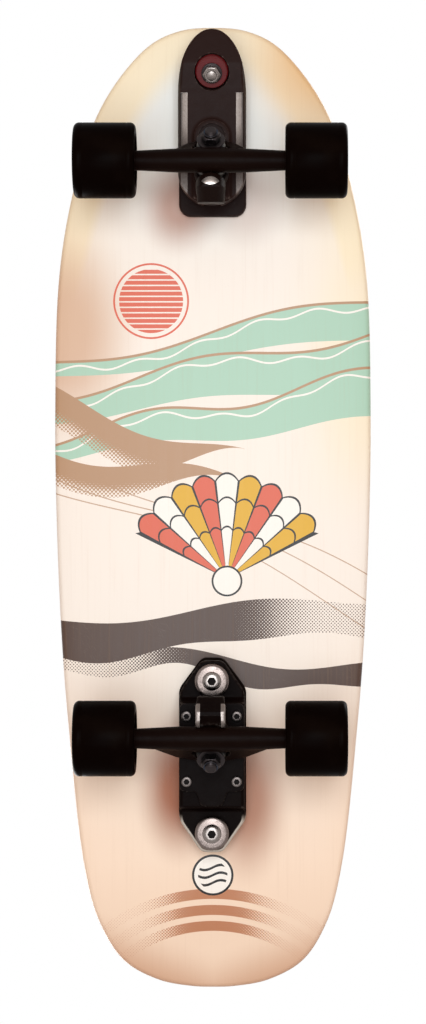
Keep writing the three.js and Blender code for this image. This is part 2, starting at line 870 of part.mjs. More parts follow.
function armSolid() {
  const half = adapter.halfWidth;
  const tailCentre = frontBase.tailY + arm.tailTaper + half;
  const plan = archShape(half, arm.shoulderY, arm.tipY, (shape) => {
    shape.lineTo(-half, tailCentre);
    shape.absarc(0, tailCentre, half, Math.PI, 2 * Math.PI, false);
  });
  const bossHalf = swing.bushingRadius + clearance;
  const tailEnd = tailCentre - half - overrun;
  const side = sideSlab([
    [tailEnd, armBottom],
    [bySwing(-bossHalf, -swing.armBelow)[0], armBottom],
    bySwing(bossHalf / 2, -swing.armBelow),
    [arm.tipY + overrun, armTop - arm.beakBottom],
    [arm.tipY + overrun, armTop - arm.beakBottom + arm.chamfer * 2],
    bySwing(bossHalf, swing.armAbove),
    bySwing(-bossHalf, swing.armAbove),
    [tailCentre, armTop],
    [tailEnd, armTop - arm.tailTaper],
  ], half + overrun);
  const low = armTop - arm.beakTop;
  const cross = endSlab([
    [-half + arm.chamfer, low],
    [half - arm.chamfer, low],
    [half, armBottom + arm.chamfer],
    [half, armTop - arm.chamfer / 2],
    [half - arm.chamfer / 2, armTop],
    [-half + arm.chamfer / 2, armTop],
    [-half, armTop - arm.chamfer / 2],
    [-half, armBottom + arm.chamfer],
  ], tailEnd, arm.tipY + overrun);
  const padY = arm.padFront - arm.padHalf;
  const pad = new THREE.Shape();
  pad.moveTo(arm.padHalf, padY);
  pad.absarc(0, padY, arm.padHalf, 0, Math.PI, false);
  pad.lineTo(-arm.padHalf, -truckBase.back);
  pad.lineTo(arm.padHalf, -truckBase.back);
  pad.closePath();
  const casting = join(
    solid(slab(plan, low, armTop)).intersect(solid(side)).intersect(solid(cross)),
    solid(slab(pad, armBottom - arm.padDrop, armBottom + arm.padDrop)),
    truckBlock(),
  );
  return cut(
    casting,
    ...truckBaseCuts(armTop + overrun),
    solid(onSwing(rod(swing.boltRadius + swing.boreSlack, recessFloor - overrun, armTop, sides.small))),
    solid(onSwing(rod(swing.bushingRadius + 2 * clearance, -armTop, recessFloor, sides.medium))),
  );
}

function frontBaseSolid() {
  const half = adapter.halfWidth;
  const plateLow = deckSeat - adapter.basePlate;
  const tail = frontBase.tailY;
  const corner = frontBase.corner;
  const plan = archShape(half, frontBase.shoulderY, frontBase.tipY, (shape) => {
    shape.lineTo(-half, tail + corner);
    shape.quadraticCurveTo(-half, tail, -half + corner, tail);
    shape.lineTo(half - corner, tail);
    shape.quadraticCurveTo(half, tail, half, tail + corner);
  });
  const edge = frontBase.edge;
  const cross = endSlab([
    [-half + edge, pedestalFloor()],
    [half - edge, pedestalFloor()],
    [half, plateLow + edge],
    [half, deckSeat],
    [-half, deckSeat],
    [-half, plateLow + edge],
  ], tail - overrun, frontBase.tipY + overrun);
  const wedge = sideSlab([
    bySwing(-swing.pedestalRadius, pedestalFace),
    bySwing(swing.pedestalRadius, pedestalFace),
    [frontBase.tipY - edge, plateLow],
    [frontBase.tipY - edge, deckSeat - edge],
    [bySwing(-swing.pedestalRadius, pedestalFace)[0], deckSeat - edge],
  ], swing.pedestalRadius);
  const body = join(solid(slab(plan, plateLow, deckSeat)), solid(wedge))
    .intersect(solid(slab(plan, pedestalFloor(), deckSeat)))
    .intersect(solid(cross));
  const pocketTop = swingHead + deckSeat;
  const cuts = [
    solid(onSwing(rod(swing.boltRadius + clearance, 0, pocketTop, sides.small))),
    solid(onSwing(rod(swing.headPocket, swingHead - clearance, pocketTop, sides.medium))),
  ];
  for (const [x, y] of pattern(frontBase.screwCentre)) {
    cuts.push(...screwCuts(x, y, plateLow));
  }
  return cut(body, ...cuts);
}

// The lowest point that the front base's pedestal reaches.
function pedestalFloor() {
  return bySwing(swing.pedestalRadius, pedestalFace)[1] - overrun;
}

// A hole for a deck screw through a plate, with the pocket of its nut from below.
function screwCuts(x, y, plateLow) {
  const nutTop = plateLow + clearance + screwNut.height + clearance;
  return [
    solid(rod(screw.hole, plateLow - overrun, deckSeat + overrun, sides.tiny).applyMatrix4(at(x, y, 0))),
    solid(rod(screwNut.pocket, plateLow - overrun, nutTop, sides.tiny).applyMatrix4(at(x, y, 0))),
  ];
}

function swingBoltSolid() {
  const shankEnd = swingNutEnd - clearance;
  return join(
    solid(onSwing(rod(swing.boltRadius, shankEnd, swingHead + clearance, sides.small))),
    solid(onSwing(hexagon(swing.nutFlats, swingHead, swingHead + swing.headHeight))),
  );
}

function swingNutSolid() {
  const bore = rod(swing.boltRadius + clearance, swingNutEnd - overrun, 0, sides.small);
  const nut = hexagon(swing.nutFlats, swingNutEnd, swingNutEnd + swing.nutHeight);
  return cut(solid(onSwing(nut)), solid(onSwing(bore)));
}

function swingWasherSolid() {
  const bore = swing.boltRadius + clearance;
  const high = swingWasherEnd + swing.washer;
  return solid(onSwing(sleeve(bore, swing.washerRadius, swingWasherEnd, high, sides.small)));
}

function swingBushingSolid(low, height) {
  const bore = swing.boltRadius + clearance;
  const radius = swing.bushingRadius - bushing.bulge;
  const profile = bushingProfile(bore, radius, radius, low, low + height);
  return solid(onSwing(turnedRing(profile, sides.small)));
}

// Rear adapter, in the rear truck's frame

const tiltBaseLow = deckSeat - tilt.basePlate;
const tiltTop = tiltBaseLow - 2 * clearance - tilt.upperBushing;
const tiltEndLow = tiltTop - tilt.endThickness;
const tiltBushingLow = tiltEndLow - clearance - tilt.lowerBushing;
const tiltWasherLow = tiltBushingLow - clearance - cupWasher.thickness;
const tiltHeadTop = tiltWasherLow - clearance;
const tiltBolts = { nose: -tilt.boltNose, tail: tilt.boltTail };

// Both plates share one outline: a long hexagon with flat narrow ends, drawn in by an inset.
function tiltShape(inset) {
  const half = adapter.halfWidth - inset;
  const nose = -tilt.noseEnd + inset;
  const tail = tilt.tailEnd - inset;
  const end = tilt.endHalf;
  const corner = end / 2;
  return roundedShape([
    [half, nose + tilt.endTaper, corner],
    [half, tail - tilt.endTaper, corner],
    [end, tail, corner],
    [-end, tail, corner],
    [-half, tail - tilt.endTaper, corner],
    [-half, nose + tilt.endTaper, corner],
    [-end, nose, corner],
    [end, nose, corner],
  ]);
}

function rearBaseSolid() {
  const rim = (inset, height) => tiltShape(inset).getPoints(segments.cornerCount)
    .map(({ x, y }) => new THREE.Vector3(x, y, height));
  const bevelled = hull(
    rim(0, deckSeat),
    rim(0, tiltBaseLow + tilt.chamfer),
    rim(tilt.chamfer, tiltBaseLow),
  );
  const cuts = Object.values(tiltBolts).map((y) => {
    const hole = rod(tilt.boltRadius + clearance, tiltBaseLow - overrun, deckSeat + overrun, sides.small);
    return solid(hole.applyMatrix4(at(0, y, 0)));
  });
  for (const [x, y] of pattern(tiltCentre)) {
    cuts.push(...screwCuts(x, y, tiltBaseLow));
  }
  return cut(bevelled, ...cuts);
}

function tiltPlateSolid() {
  const plan = tiltShape(tilt.inset);
  const half = adapter.halfWidth - tilt.inset;
  const nose = -tilt.noseEnd - overrun;
  const tail = tilt.tailEnd + overrun;
  const side = sideSlab([
    [nose, tiltEndLow],
    [-tilt.humpNose - tilt.humpSlope, tiltEndLow],
    [-tilt.humpNose, seatHeight + clearance],
    [tilt.humpTail, seatHeight + clearance],
    [tilt.humpTail + tilt.humpSlope, tiltEndLow],
    [tail, tiltEndLow],
    [tail, tiltTop],
    [nose, tiltTop],
  ], half + overrun);
  const cross = endSlab([
    [-half + tilt.chamfer, seatHeight],
    [half - tilt.chamfer, seatHeight],
    [half, seatHeight + tilt.chamfer],
    [half, tiltTop - tilt.chamfer],
    [half - tilt.chamfer, tiltTop],
    [-half + tilt.chamfer, tiltTop],
    [-half, tiltTop - tilt.chamfer],
    [-half, seatHeight + tilt.chamfer],
  ], nose, tail);
  const cuts = Object.values(tiltBolts).map((y) => {
    const hole = rod(tilt.boltRadius + tilt.boreSlack, tiltEndLow - overrun, tiltTop + overrun, sides.small);
    return solid(hole.applyMatrix4(at(0, y, 0)));
  });
  for (const [x, y] of pattern(truckBase.screwCentre)) {
    const high = seatHeight - truckBase.plate + truckScrew.length + clearance;
    const hole = rod(screw.hole, seatHeight - overrun, high, sides.tiny);
    cuts.push(solid(hole.applyMatrix4(at(x, y, 0))));
  }
  const flankLow = (seatHeight + tiltTop - tilt.flankHeight) / 2;
  for (const way of [-1, 1]) {
    const inner = way * (half - tilt.flankDepth);
    const outer = way * (half + overrun);
    const flank = slab(shapeOf([
      [Math.min(inner, outer), -tilt.humpNose + tilt.flankDepth],
      [Math.max(inner, outer), -tilt.humpNose + tilt.flankDepth],
      [Math.max(inner, outer), tilt.humpTail - tilt.flankDepth],
      [Math.min(inner, outer), tilt.humpTail - tilt.flankDepth],
    ]), flankLow, flankLow + tilt.flankHeight);
    cuts.push(solid(flank));
  }
  const body = solid(slab(plan, seatHeight, tiltTop, segments.cornerCount))
    .intersect(solid(side))
    .intersect(solid(cross));
  return cut(body, ...cuts);
}

function tiltBoltSolid(y) {
  const low = tiltHeadTop - tilt.headHeight;
  const crown = low + tilt.headHeight / 2;
  const profile = [
    [0, low],
    [tilt.boltHead * 2 / 3, low],
    [tilt.boltHead, crown],
    [tilt.boltHead, tiltHeadTop],
    [tilt.boltRadius, tiltHeadTop],
    [tilt.boltRadius, deckSeat - clearance],
    [0, deckSeat - clearance],
  ];
  const socket = hexagon(tilt.socketFlats, low - overrun, low + tilt.socketDepth);
  return cut(
    solid(turned(profile, sides.small).applyMatrix4(at(0, y, 0))),
    solid(socket.applyMatrix4(at(0, y, 0))),
  );
}

function tiltWasherSolid(y) {
  const bore = tilt.boltRadius + clearance;
  const profile = cupProfile(bore, tilt.washerRadius + cupWasher.rimWidth / 2, tiltWasherLow);
  return solid(turnedRing(profile, sides.medium).applyMatrix4(at(0, y, 0)));
}

function tiltBushingSolid(y, low, height) {
  const bore = tilt.boltRadius + clearance;
  const radius = tilt.bushingRadius - bushing.bulge;
  const profile = bushingProfile(bore, radius, radius, low, low + height);
  return solid(turnedRing(profile, sides.small).applyMatrix4(at(0, y, 0)));
}

function rearTruckBaseSolid() {
  const { halfWidth, front, back, corner, tongueHalf, tongueTip, tongueLength } = truckBase;
  const plate = roundedShape([
    [halfWidth, -back, corner],
    [halfWidth, front, corner],
    [tongueHalf, front, corner / 2],
    [tongueTip, front + tongueLength, corner / 2],
    [-tongueTip, front + tongueLength, corner / 2],
    [-tongueHalf, front, corner / 2],
    [-halfWidth, front, corner],
    [-halfWidth, -back, corner],
  ]);
  const flange = slab(plate, seatHeight - truckBase.plate, seatHeight, segments.cornerCount);
  const body = cut(join(solid(flange), truckBlock(pivotShoe())), shoeWindow());
  const above = new THREE.BoxGeometry(deck.width, deck.width, truck.height)
    .applyMatrix4(at(0, 0, seatHeight + truck.height / 2));
  const cuts = pattern(truckBase.screwCentre).map(([x, y]) => {
    const hole = rod(screw.hole, 0, seatHeight + overrun, sides.tiny);
    return solid(hole.applyMatrix4(at(x, y, 0)));
  });
  return cut(body, solid(above), ...truckBaseCuts(kingpinUnderHead + truck.height), ...cuts);
}

// A cap screw from below with its socket, through the truck base into the tilting plate.
function truckScrewSolid(x, y) {
  const under = seatHeight - truckBase.plate - clearance;
  const low = under - truckScrew.headHeight;
  const body = join(
    solid(rod(truckScrew.headRadius, low, under, sides.tiny).applyMatrix4(at(x, y, 0))),
    solid(rod(truckScrew.shank, low, under + truckScrew.length, sides.tiny).applyMatrix4(at(x, y, 0))),
  );
  const socket = hexagon(truckScrew.socketFlats, low - overrun, low + truckScrew.socketDepth);
  return cut(body, solid(socket.applyMatrix4(at(x, y, 0))));
}

// Assembly

// The running gear that both trucks have alike, in the truck's frame.
function runningGear(end) {
  const gear = new THREE.Group();
  gear.add(
    piece(`${end}_hanger`, hangerSolid(), 'casting'),
    piece(`${end}_axle`, axleSolid(), 'steel'),
    piece(`${end}_kingpin`, kingpinSolid(), 'steel'),
    piece(`${end}_kingpin_nut`, kingpinNutSolid(), 'steel'),
    piece(`${end}_kingpin_washer`, kingpinWasherSolid(), 'steel'),
    piece(`${end}_barrel_bushing`, barrelBushingSolid(), 'blackUrethane'),
    piece(`${end}_cone_bushing`, coneBushingSolid(), 'blackUrethane'),
    piece(`${end}_pivot_cup`, pivotCupSolid(), 'cupPlastic'),
  );
  const tread = wheelSolid();
  const balls = bearingSolid();
  const nut = axleNutSolid();
  for (const side of ['left', 'right']) {
    // The board's left lies at -X, and a turned frame keeps its names.
    const towardsPlus = (side === 'right') === (end === 'front');
    const place = new THREE.Group();
    place.rotation.z = towardsPlus ? 0 : Math.PI;
    const carrier = new THREE.Group();
    carrier.position.x = wheelCentre;
    carrier.add(
      piece(`${end}_${side}_wheel`, tread, 'blackUrethane'),
      piece(`${end}_${side}_bearings`, balls, 'steel'),
    );
    place.add(carrier, piece(`${end}_${side}_axle_nut`, nut, 'steel'));
    gear.add(place);
  }
  return gear;
}

function frontAssembly() {
  const front = runningGear('front');
  front.position.set(0, frontAxleY, wheelRadius);
  const upper = swingBushingSolid(swing.armAbove + clearance, swing.upperBushing);
  const lower = swingBushingSolid(lowerBushingEnd, swing.lowerBushing);
  front.add(
    piece('front_swing_arm', armSolid(), 'casting'),
    piece('front_base_plate', frontBaseSolid(), 'casting'),
    piece('front_swing_bolt', swingBoltSolid(), 'steel'),
    piece('front_swing_nut', swingNutSolid(), 'steel'),
    piece('front_swing_washer', swingWasherSolid(), 'steel'),
    piece('front_swing_upper_bushing', upper, 'redUrethane'),
    piece('front_swing_lower_bushing', lower, 'redUrethane'),
  );
  return front;
}

function rearAssembly() {
  const rear = runningGear('rear');
  rear.position.set(0, rearAxleY, wheelRadius);
  rear.rotation.z = Math.PI;
  rear.add(
    piece('rear_base_plate', rearBaseSolid(), 'casting'),
    piece('rear_tilt_plate', tiltPlateSolid(), 'casting'),
    piece('rear_truck_base', rearTruckBaseSolid(), 'casting'),
  );
  for (const [end, y] of Object.entries(tiltBolts)) {
    const upper = tiltBushingSolid(y, tiltTop + clearance, tilt.upperBushing);
    const lower = tiltBushingSolid(y, tiltBushingLow, tilt.lowerBushing);
    rear.add(
      piece(`rear_tilt_bolt_${end}`, tiltBoltSolid(y), 'steel'),
      piece(`rear_tilt_washer_${end}`, tiltWasherSolid(y), 'steel'),
      piece(`rear_tilt_upper_bushing_${end}`, upper, 'redUrethane'),
      piece(`rear_tilt_lower_bushing_${end}`, lower, 'redUrethane'),
    );
  }
  pattern(truckBase.screwCentre).forEach(([x, y], i) => {
    rear.add(piece(`rear_truck_screw_${i + 1}`, truckScrewSolid(x, y), 'steel'));
  });
  return rear;
}

const plateOf = { front: adapter.basePlate, rear: tilt.basePlate };
const board = new THREE.Group();
board.add(...deckPieces(), frontAssembly(), rearAssembly());
deckScrews.forEach(({ x, y, end }, i) => {
  const mesh = piece(`${end}_deck_screw_${(i % 4) + 1}`, deckScrewSolid(plateOf[end]), 'steel');
  mesh.position.set(x, y, 0);
  board.add(mesh);
});

export default board;
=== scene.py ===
"""A surf skateboard standing on its wheels, pictured straight on its underside.

The board rests on z = 0 with its nose towards +Y. The main camera looks up from below. The floor
shows only from above, so that the same board also stands on it in the other views. Sizes in the
builders are in millimetres and become metres where a mesh is made.
"""

import logging
import math
from collections.abc import Callable, Iterable, Sequence
from dataclasses import dataclass
from enum import Enum
from typing import Any

import bmesh
import bpy
import numpy as np
from mathutils import Matrix, Vector


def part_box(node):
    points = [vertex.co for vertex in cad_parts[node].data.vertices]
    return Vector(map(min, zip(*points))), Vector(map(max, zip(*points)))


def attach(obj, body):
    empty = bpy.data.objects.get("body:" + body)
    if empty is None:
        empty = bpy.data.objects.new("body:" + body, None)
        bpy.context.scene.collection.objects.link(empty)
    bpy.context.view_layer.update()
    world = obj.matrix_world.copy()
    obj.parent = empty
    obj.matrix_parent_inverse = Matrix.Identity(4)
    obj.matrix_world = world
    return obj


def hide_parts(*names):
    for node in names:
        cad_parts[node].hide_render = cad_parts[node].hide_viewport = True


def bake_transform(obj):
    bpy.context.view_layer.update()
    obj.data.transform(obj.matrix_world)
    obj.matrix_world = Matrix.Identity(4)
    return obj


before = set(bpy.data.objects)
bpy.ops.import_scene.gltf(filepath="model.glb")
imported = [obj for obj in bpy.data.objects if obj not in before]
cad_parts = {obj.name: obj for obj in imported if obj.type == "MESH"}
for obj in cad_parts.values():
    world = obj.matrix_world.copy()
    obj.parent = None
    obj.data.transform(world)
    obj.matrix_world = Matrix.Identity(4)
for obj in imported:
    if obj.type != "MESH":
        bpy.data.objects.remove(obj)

logging.basicConfig(level=logging.INFO, format="%(levelname)s %(message)s")
log = logging.getLogger("surf_skateboard")

MM = 0.001
TAU = 2 * math.pi
# The gap between pieces, how far a tool overruns its cut, and the height of the trucks' seat.
GAP, OVERRUN, SEAT = 0.3, 4.0, 54.0
Colour = tuple[float, float, float]
Point = tuple[float, float]
Radius = float | Callable[[float], float]


def srgb(red: int, green: int, blue: int) -> Colour:
    """Returns the linear colour of an 8-bit display colour.

    Args:
        red: The level of red, from 0 to 255.
        green: The level of green.
        blue: The level of blue.

    Returns:
        The colour's three linear parts.
    """

    def linear(level: int) -> float:
        """Returns one channel without its display curve."""
        share = level / 255
        return share / 12.92 if share <= 0.04045 else ((share + 0.055) / 1.055) ** 2.4

    return linear(red), linear(green), linear(blue)


def toned(colour: Colour, share: float, lift: float = 0.0) -> Colour:
    """Returns a colour made darker or lighter by a share and a lift."""
    return tuple(min(1.0, level * share + lift) for level in colour)


class Ends(Enum):
    """The two ends of the board, each with its running gear."""

    FRONT = "front"
    REAR = "rear"


class Sides(Enum):
    """The board's own left and right, by the sign of X."""

    LEFT = -1
    RIGHT = 1


# Node trees


class Canvas:
    """Builds nodes in one tree, so that a finish reads as a short list of steps."""

    def __init__(self, tree: bpy.types.NodeTree) -> None:
        """Clears the tree that the nodes go into."""
        self.tree = tree
        tree.nodes.clear()

    def put(self, socket: bpy.types.NodeSocket, value: Any) -> None:
        """Puts a term, another socket or a plain value into a socket.

        Args:
            socket: The socket that is filled.
            value: What goes into it.
        """
        value = value.socket if isinstance(value, Term) else value
        if isinstance(value, bpy.types.NodeSocket):
            self.tree.links.new(value, socket)
        else:
            plain_colour = isinstance(value, tuple) and socket.type == "RGBA"
            socket.default_value = (*value, 1.0) if plain_colour else value

    def feed(self, node: bpy.types.Node, **inputs: Any) -> bpy.types.Node:
        """Fills sockets of a node, named with underscores for spaces, and returns the node.

        Args:
            node: The node.
            inputs: What goes into its sockets by name.

        Returns:
            The node.
        """
        for name, value in inputs.items():
            self.put(node.inputs[name.replace("_", " ")], value)
        return node

    def add(self, kind: str, settings: dict[str, Any] | None = None, **inputs: Any) -> bpy.types.Node:
        """Adds a shader node.

        Args:
            kind: The node's type, without its prefix.
            settings: Its properties by name.
            inputs: What goes into its sockets by name.

        Returns:
            The node.
        """
        node = self.tree.nodes.new(f"ShaderNode{kind}")
        for name, value in (settings or {}).items():
            setattr(node, name, value)
        return self.feed(node, **inputs)

    def stored(self, name: str) -> "Term":
        """Returns a mesh's own attribute."""
        return Term(self, self.add("Attribute", {"attribute_name": name}).outputs["Fac"])

    def position(self) -> bpy.types.NodeSocket:
        """Returns the place on the piece, in its own axes and metres."""
        return self.add("TexCoord").outputs["Object"]

    def axes(self, vector: bpy.types.NodeSocket) -> tuple["Term", "Term", "Term"]:
        """Returns the three parts of a place as terms, in millimetres."""
        split = self.add("SeparateXYZ", Vector=vector)
        x, y, z = (Term(self, socket) * (1 / MM) for socket in split.outputs)
        return x, y, z

    def combine(self, x: Any, y: Any, z: Any) -> bpy.types.NodeSocket:
        """Returns the vector of three values or terms."""
        return self.add("CombineXYZ", X=x, Y=y, Z=z).outputs[0]

    def noise(self, vector: bpy.types.NodeSocket, scale: float, detail: float = 3.0) -> "Term":
        """Returns noise from 0 to 1, by its blotches to the unit and how many finer layers it holds."""
        return Term(self, self.add("TexNoise", Vector=vector, Scale=scale, Detail=detail).outputs["Fac"])

    def cells(self, vector: bpy.types.NodeSocket, scale: float) -> "Term":
        """Returns the distance to the nearest of many scattered points."""
        return Term(self, self.add("TexVoronoi", Vector=vector, Scale=scale).outputs["Distance"])

    def paint(self, base: Any, colour: Any, mask: Any) -> bpy.types.NodeSocket:
        """Returns a base colour with another laid over it where a mask from 0 to 1 shows it.

        Args:
            base: The colour below.
            colour: The colour laid over it.
            mask: Where it shows.

        Returns:
            The painted colour.
        """
        node = self.add("Mix", {"data_type": "RGBA"}, Factor=mask)
        self.put(node.inputs[6], base)
        self.put(node.inputs[7], colour)
        return node.outputs[2]

    def bump(self, height: Any, distance: float, strength: Any = 1.0) -> bpy.types.NodeSocket:
        """Returns a normal that leans with a height, where a height of 1 is a distance in metres."""
        return self.add("Bump", Strength=strength, Distance=distance, Height=height).outputs["Normal"]


class Term:
    """A value in a node tree on which plain arithmetic can be written."""

    def __init__(self, canvas: Canvas, socket: bpy.types.NodeSocket) -> None:
        """Keeps the canvas and the socket that the value comes from."""
        self.canvas = canvas
        self.socket = socket

    def _with(self, operation: str, *others: Any) -> "Term":
        """Returns the outcome of a maths node on this value and others.

        Args:
            operation: The maths node's operation.
            others: Its other values.

        Returns:
            The outcome.
        """
        node = self.canvas.add("Math", {"operation": operation})
        for socket, value in zip(node.inputs, (self, *others)):
            self.canvas.put(socket, value)
        return Term(self.canvas, node.outputs[0])

    def __add__(self, other: Any) -> "Term":
        """Returns the sum."""
        return self._with("ADD", other)

    def __sub__(self, other: Any) -> "Term":
        """Returns the difference."""
        return self._with("SUBTRACT", other)

    def __mul__(self, other: Any) -> "Term":
        """Returns the product."""
        return self._with("MULTIPLY", other)

    def __truediv__(self, other: Any) -> "Term":
        """Returns the quotient."""
        return self._with("DIVIDE", other)

    def sine(self) -> "Term":
        """Returns the sine."""
        return self._with("SINE")

    def size(self) -> "Term":
        """Returns the value without its sign."""
        return self._with("ABSOLUTE")

    def part(self) -> "Term":
        """Returns what lies beyond the whole number below."""
        return self._with("FRACT")

    def angle(self, along: Any) -> "Term":
        """Returns the angle whose tangent is this value over another."""
        return self._with("ARCTAN2", along)

    def reach(self, other: "Term") -> "Term":
        """Returns the length of the way that has this value and another as its two parts."""
        return (self * self + other * other)._with("SQRT")

    def above(self, limit: Any) -> "Term":
        """Returns 1 where the value is over a limit and 0 elsewhere."""
        return self._with("GREATER_THAN", limit)

    def below(self, limit: Any) -> "Term":
        """Returns 1 where the value is under a limit and 0 elsewhere."""
        return self._with("LESS_THAN", limit)

    def most(self, other: Any) -> "Term":
        """Returns the larger of two."""
        return self._with("MAXIMUM", other)

    def ramp(self, start: float, end: float, low: float = 0.0, high: float = 1.0) -> "Term":
        """Returns a smooth way from a low level, left at the start, to a high one, met at the end.

        Args:
            start: Where the way starts.
            end: Where it ends.
            low: The level up to the start.
            high: The level from the end on.

        Returns:
            The level.
        """
        ends = {"From_Min": start, "From_Max": end, "To_Min": low, "To_Max": high}
        node = self.canvas.add("MapRange", {"interpolation_type": "SMOOTHSTEP"}, Value=self, **ends)
        return Term(self.canvas, node.outputs["Result"])


# Effects that several finishes share


def shared(outputs: Sequence[str], **inputs: float) -> Callable[..., Callable[..., Any]]:
    """Turns a recipe into a node group that is built once.

    Args:
        outputs: The name of each output, a vector where it is Normal and a number elsewhere.
        inputs: The name and default of each input, a vector where it is Place.

    Returns:
        A wrapper for the recipe, which makes it a function that places the group in a material.
    """

    def socket_kind(name: str) -> str:
        """Returns the type of a socket from its name."""
        return "NodeSocketVector" if name in ("Place", "Normal") else "NodeSocketFloat"

    def wrapped(recipe: Callable[..., Sequence[Any]]) -> Callable[..., Any]:
        """Returns the function that places a recipe's group."""
        name = recipe.__name__.replace("_", " ").capitalize()

        def built() -> bpy.types.NodeTree:
            """Builds the group."""
            tree = bpy.data.node_groups.new(name, "ShaderNodeTree")
            canvas = Canvas(tree)
            for label, default in inputs.items():
                socket = tree.interface.new_socket(
                    name=label, in_out="INPUT", socket_type=socket_kind(label)
                )
                if socket_kind(label) == "NodeSocketFloat":
                    socket.default_value = default
            for label in outputs:
                tree.interface.new_socket(name=label, in_out="OUTPUT", socket_type=socket_kind(label))
            given, out = tree.nodes.new("NodeGroupInput"), tree.nodes.new("NodeGroupOutput")
            results = recipe(canvas, *(Term(canvas, given.outputs[label]) for label in inputs))
            canvas.feed(out, **dict(zip(outputs, results)))
            return tree

        def placed(canvas: Canvas, **values: Any) -> Any:
            """Places the group on a canvas and returns its output, or a list of several."""
            tree = bpy.data.node_groups.get(name) or built()
            node = canvas.add("Group", {"node_tree": tree}, **values)
            found = [Term(canvas, node.outputs[label]) for label in outputs]
            return found if len(found) > 1 else found[0]

        return placed

    return wrapped


@shared(["Mask"], Place=0, Amount=0.5)
def scuffs(canvas: Canvas, place: Term, amount: Term) -> Sequence[Any]:
    """Thin scratches in two directions, as a mask from 0 to 1.

    Args:
        canvas: The canvas of the tree.
        place: The place on the piece.
        amount: How strongly they show.

    Returns:
        The mask.
    """
    x, y, z = canvas.axes(place)
    masks = []
    for lean, wide, fine in ((0.35, 0.045, 1.3), (-0.6, 1.5, 0.06)):
        drawn_out = canvas.combine((x + y * lean) * wide, (y - x * lean) * fine, z * 0.3)
        masks.append(canvas.noise(drawn_out, 1.6, 2.0).ramp(0.66, 0.74))
    worn = canvas.noise(place, 22.0, 2.0).ramp(0.45, 0.62)
    return [masks[0].most(masks[1]) * worn * amount]


@shared(["Normal", "Tone"], Place=0, Relief=0.3)
def cast_skin(canvas: Canvas, place: Term, relief: Term) -> Sequence[Any]:
    """The pebbled skin of a coated casting: its normal and a tone for its gloss.

    Args:
        canvas: The canvas of the tree.
        place: The place on the piece.
        relief: How strongly the skin stands out.

    Returns:
        The normal and the tone.
    """
    pebbles, waves = canvas.noise(place, 900.0), canvas.noise(place, 130.0, 2.0)
    pits = canvas.cells(place, 420.0).ramp(0.0, 0.2)
    height = pebbles * 0.5 + waves * 0.9 + pits * 0.25
    return [canvas.bump(height, 0.0007, relief), waves * 0.6 + pebbles * 0.4]


@shared(["Normal", "Height"], Radius=0, Pitch=0.5, Relief=0.3)
def turned_rings(canvas: Canvas, radius: Term, pitch: Term, relief: Term) -> Sequence[Any]:
    """Fine tool marks round an axis: their normal and their height.

    Args:
        canvas: The canvas of the tree.
        radius: The distance from the axis.
        pitch: The marks' distance.
        relief: How strongly they stand out.

    Returns:
        The normal and the height.
    """
    rings = (radius / pitch * TAU).sine() * 0.5 + 0.5
    uneven = canvas.noise(canvas.combine(radius * 0.9, 0.0, 0.0), 1.0, 4.0)
    height = rings * 0.4 + uneven * 0.6
    return [canvas.bump(height, 0.0003, relief), height]


@shared(["Mask"], Place=0, Amount=0.3)
def dust(canvas: Canvas, place: Term, amount: Term) -> Sequence[Any]:
    """Where fine dust lies, as a mask from 0 to 1.

    Args:
        canvas: The canvas of the tree.
        place: The place on the piece.
        amount: How much of it lies there.

    Returns:
        The mask.
    """
    clouds = canvas.noise(place, 38.0, 5.0).ramp(0.42, 0.75)
    specks = canvas.noise(place, 1500.0, 1.0).ramp(0.62, 0.7)
    return [(clouds * 0.8 + specks * 0.5) * amount]


@shared(["Mask"], U=0, V=0, Pitch=3.0, Density=0.5)
def halftone(canvas: Canvas, u: Term, v: Term, pitch: Term, density: Term) -> Sequence[Any]:
    """Printed dots in rows at half a right angle, larger where the density is higher.

    Args:
        canvas: The canvas of the tree.
        u: The place across the print.
        v: The place along it.
        pitch: The rows' distance.
        density: How full the rows are.

    Returns:
        The mask.
    """
    across, along = ((u + v) / pitch).part() - 0.5, ((u - v) / pitch).part() - 0.5
    return [across.reach(along).below(density * 0.62)]


# Finishes


@dataclass(frozen=True)
class Finish:
    """What all finishes hold: a name, a colour and how a material is begun."""

    name: str
    colour: Colour
    roughness: float

    def material(self) -> bpy.types.Material:
        """Returns the finish as a material, made on its first use."""
        known = bpy.data.materials.get(self.name)
        if known:
            return known
        made = bpy.data.materials.new(self.name)
        made.use_nodes = True
        made.diffuse_color = (*self.colour, 1.0)
        canvas = Canvas(made.node_tree)
        shader = canvas.add("BsdfPrincipled")
        canvas.add("OutputMaterial", Surface=shader.outputs["BSDF"])
        canvas.feed(shader, **self.dress(canvas, canvas.position()))
        log.info("finish %s", self.name)
        return made

    def dress(self, canvas: Canvas, place: bpy.types.NodeSocket) -> dict[str, Any]:
        """Works out what the shader takes.

        Args:
            canvas: The canvas of the material's tree.
            place: The place on the piece.

        Returns:
            What goes into each of the shader's sockets.
        """
        raise NotImplementedError


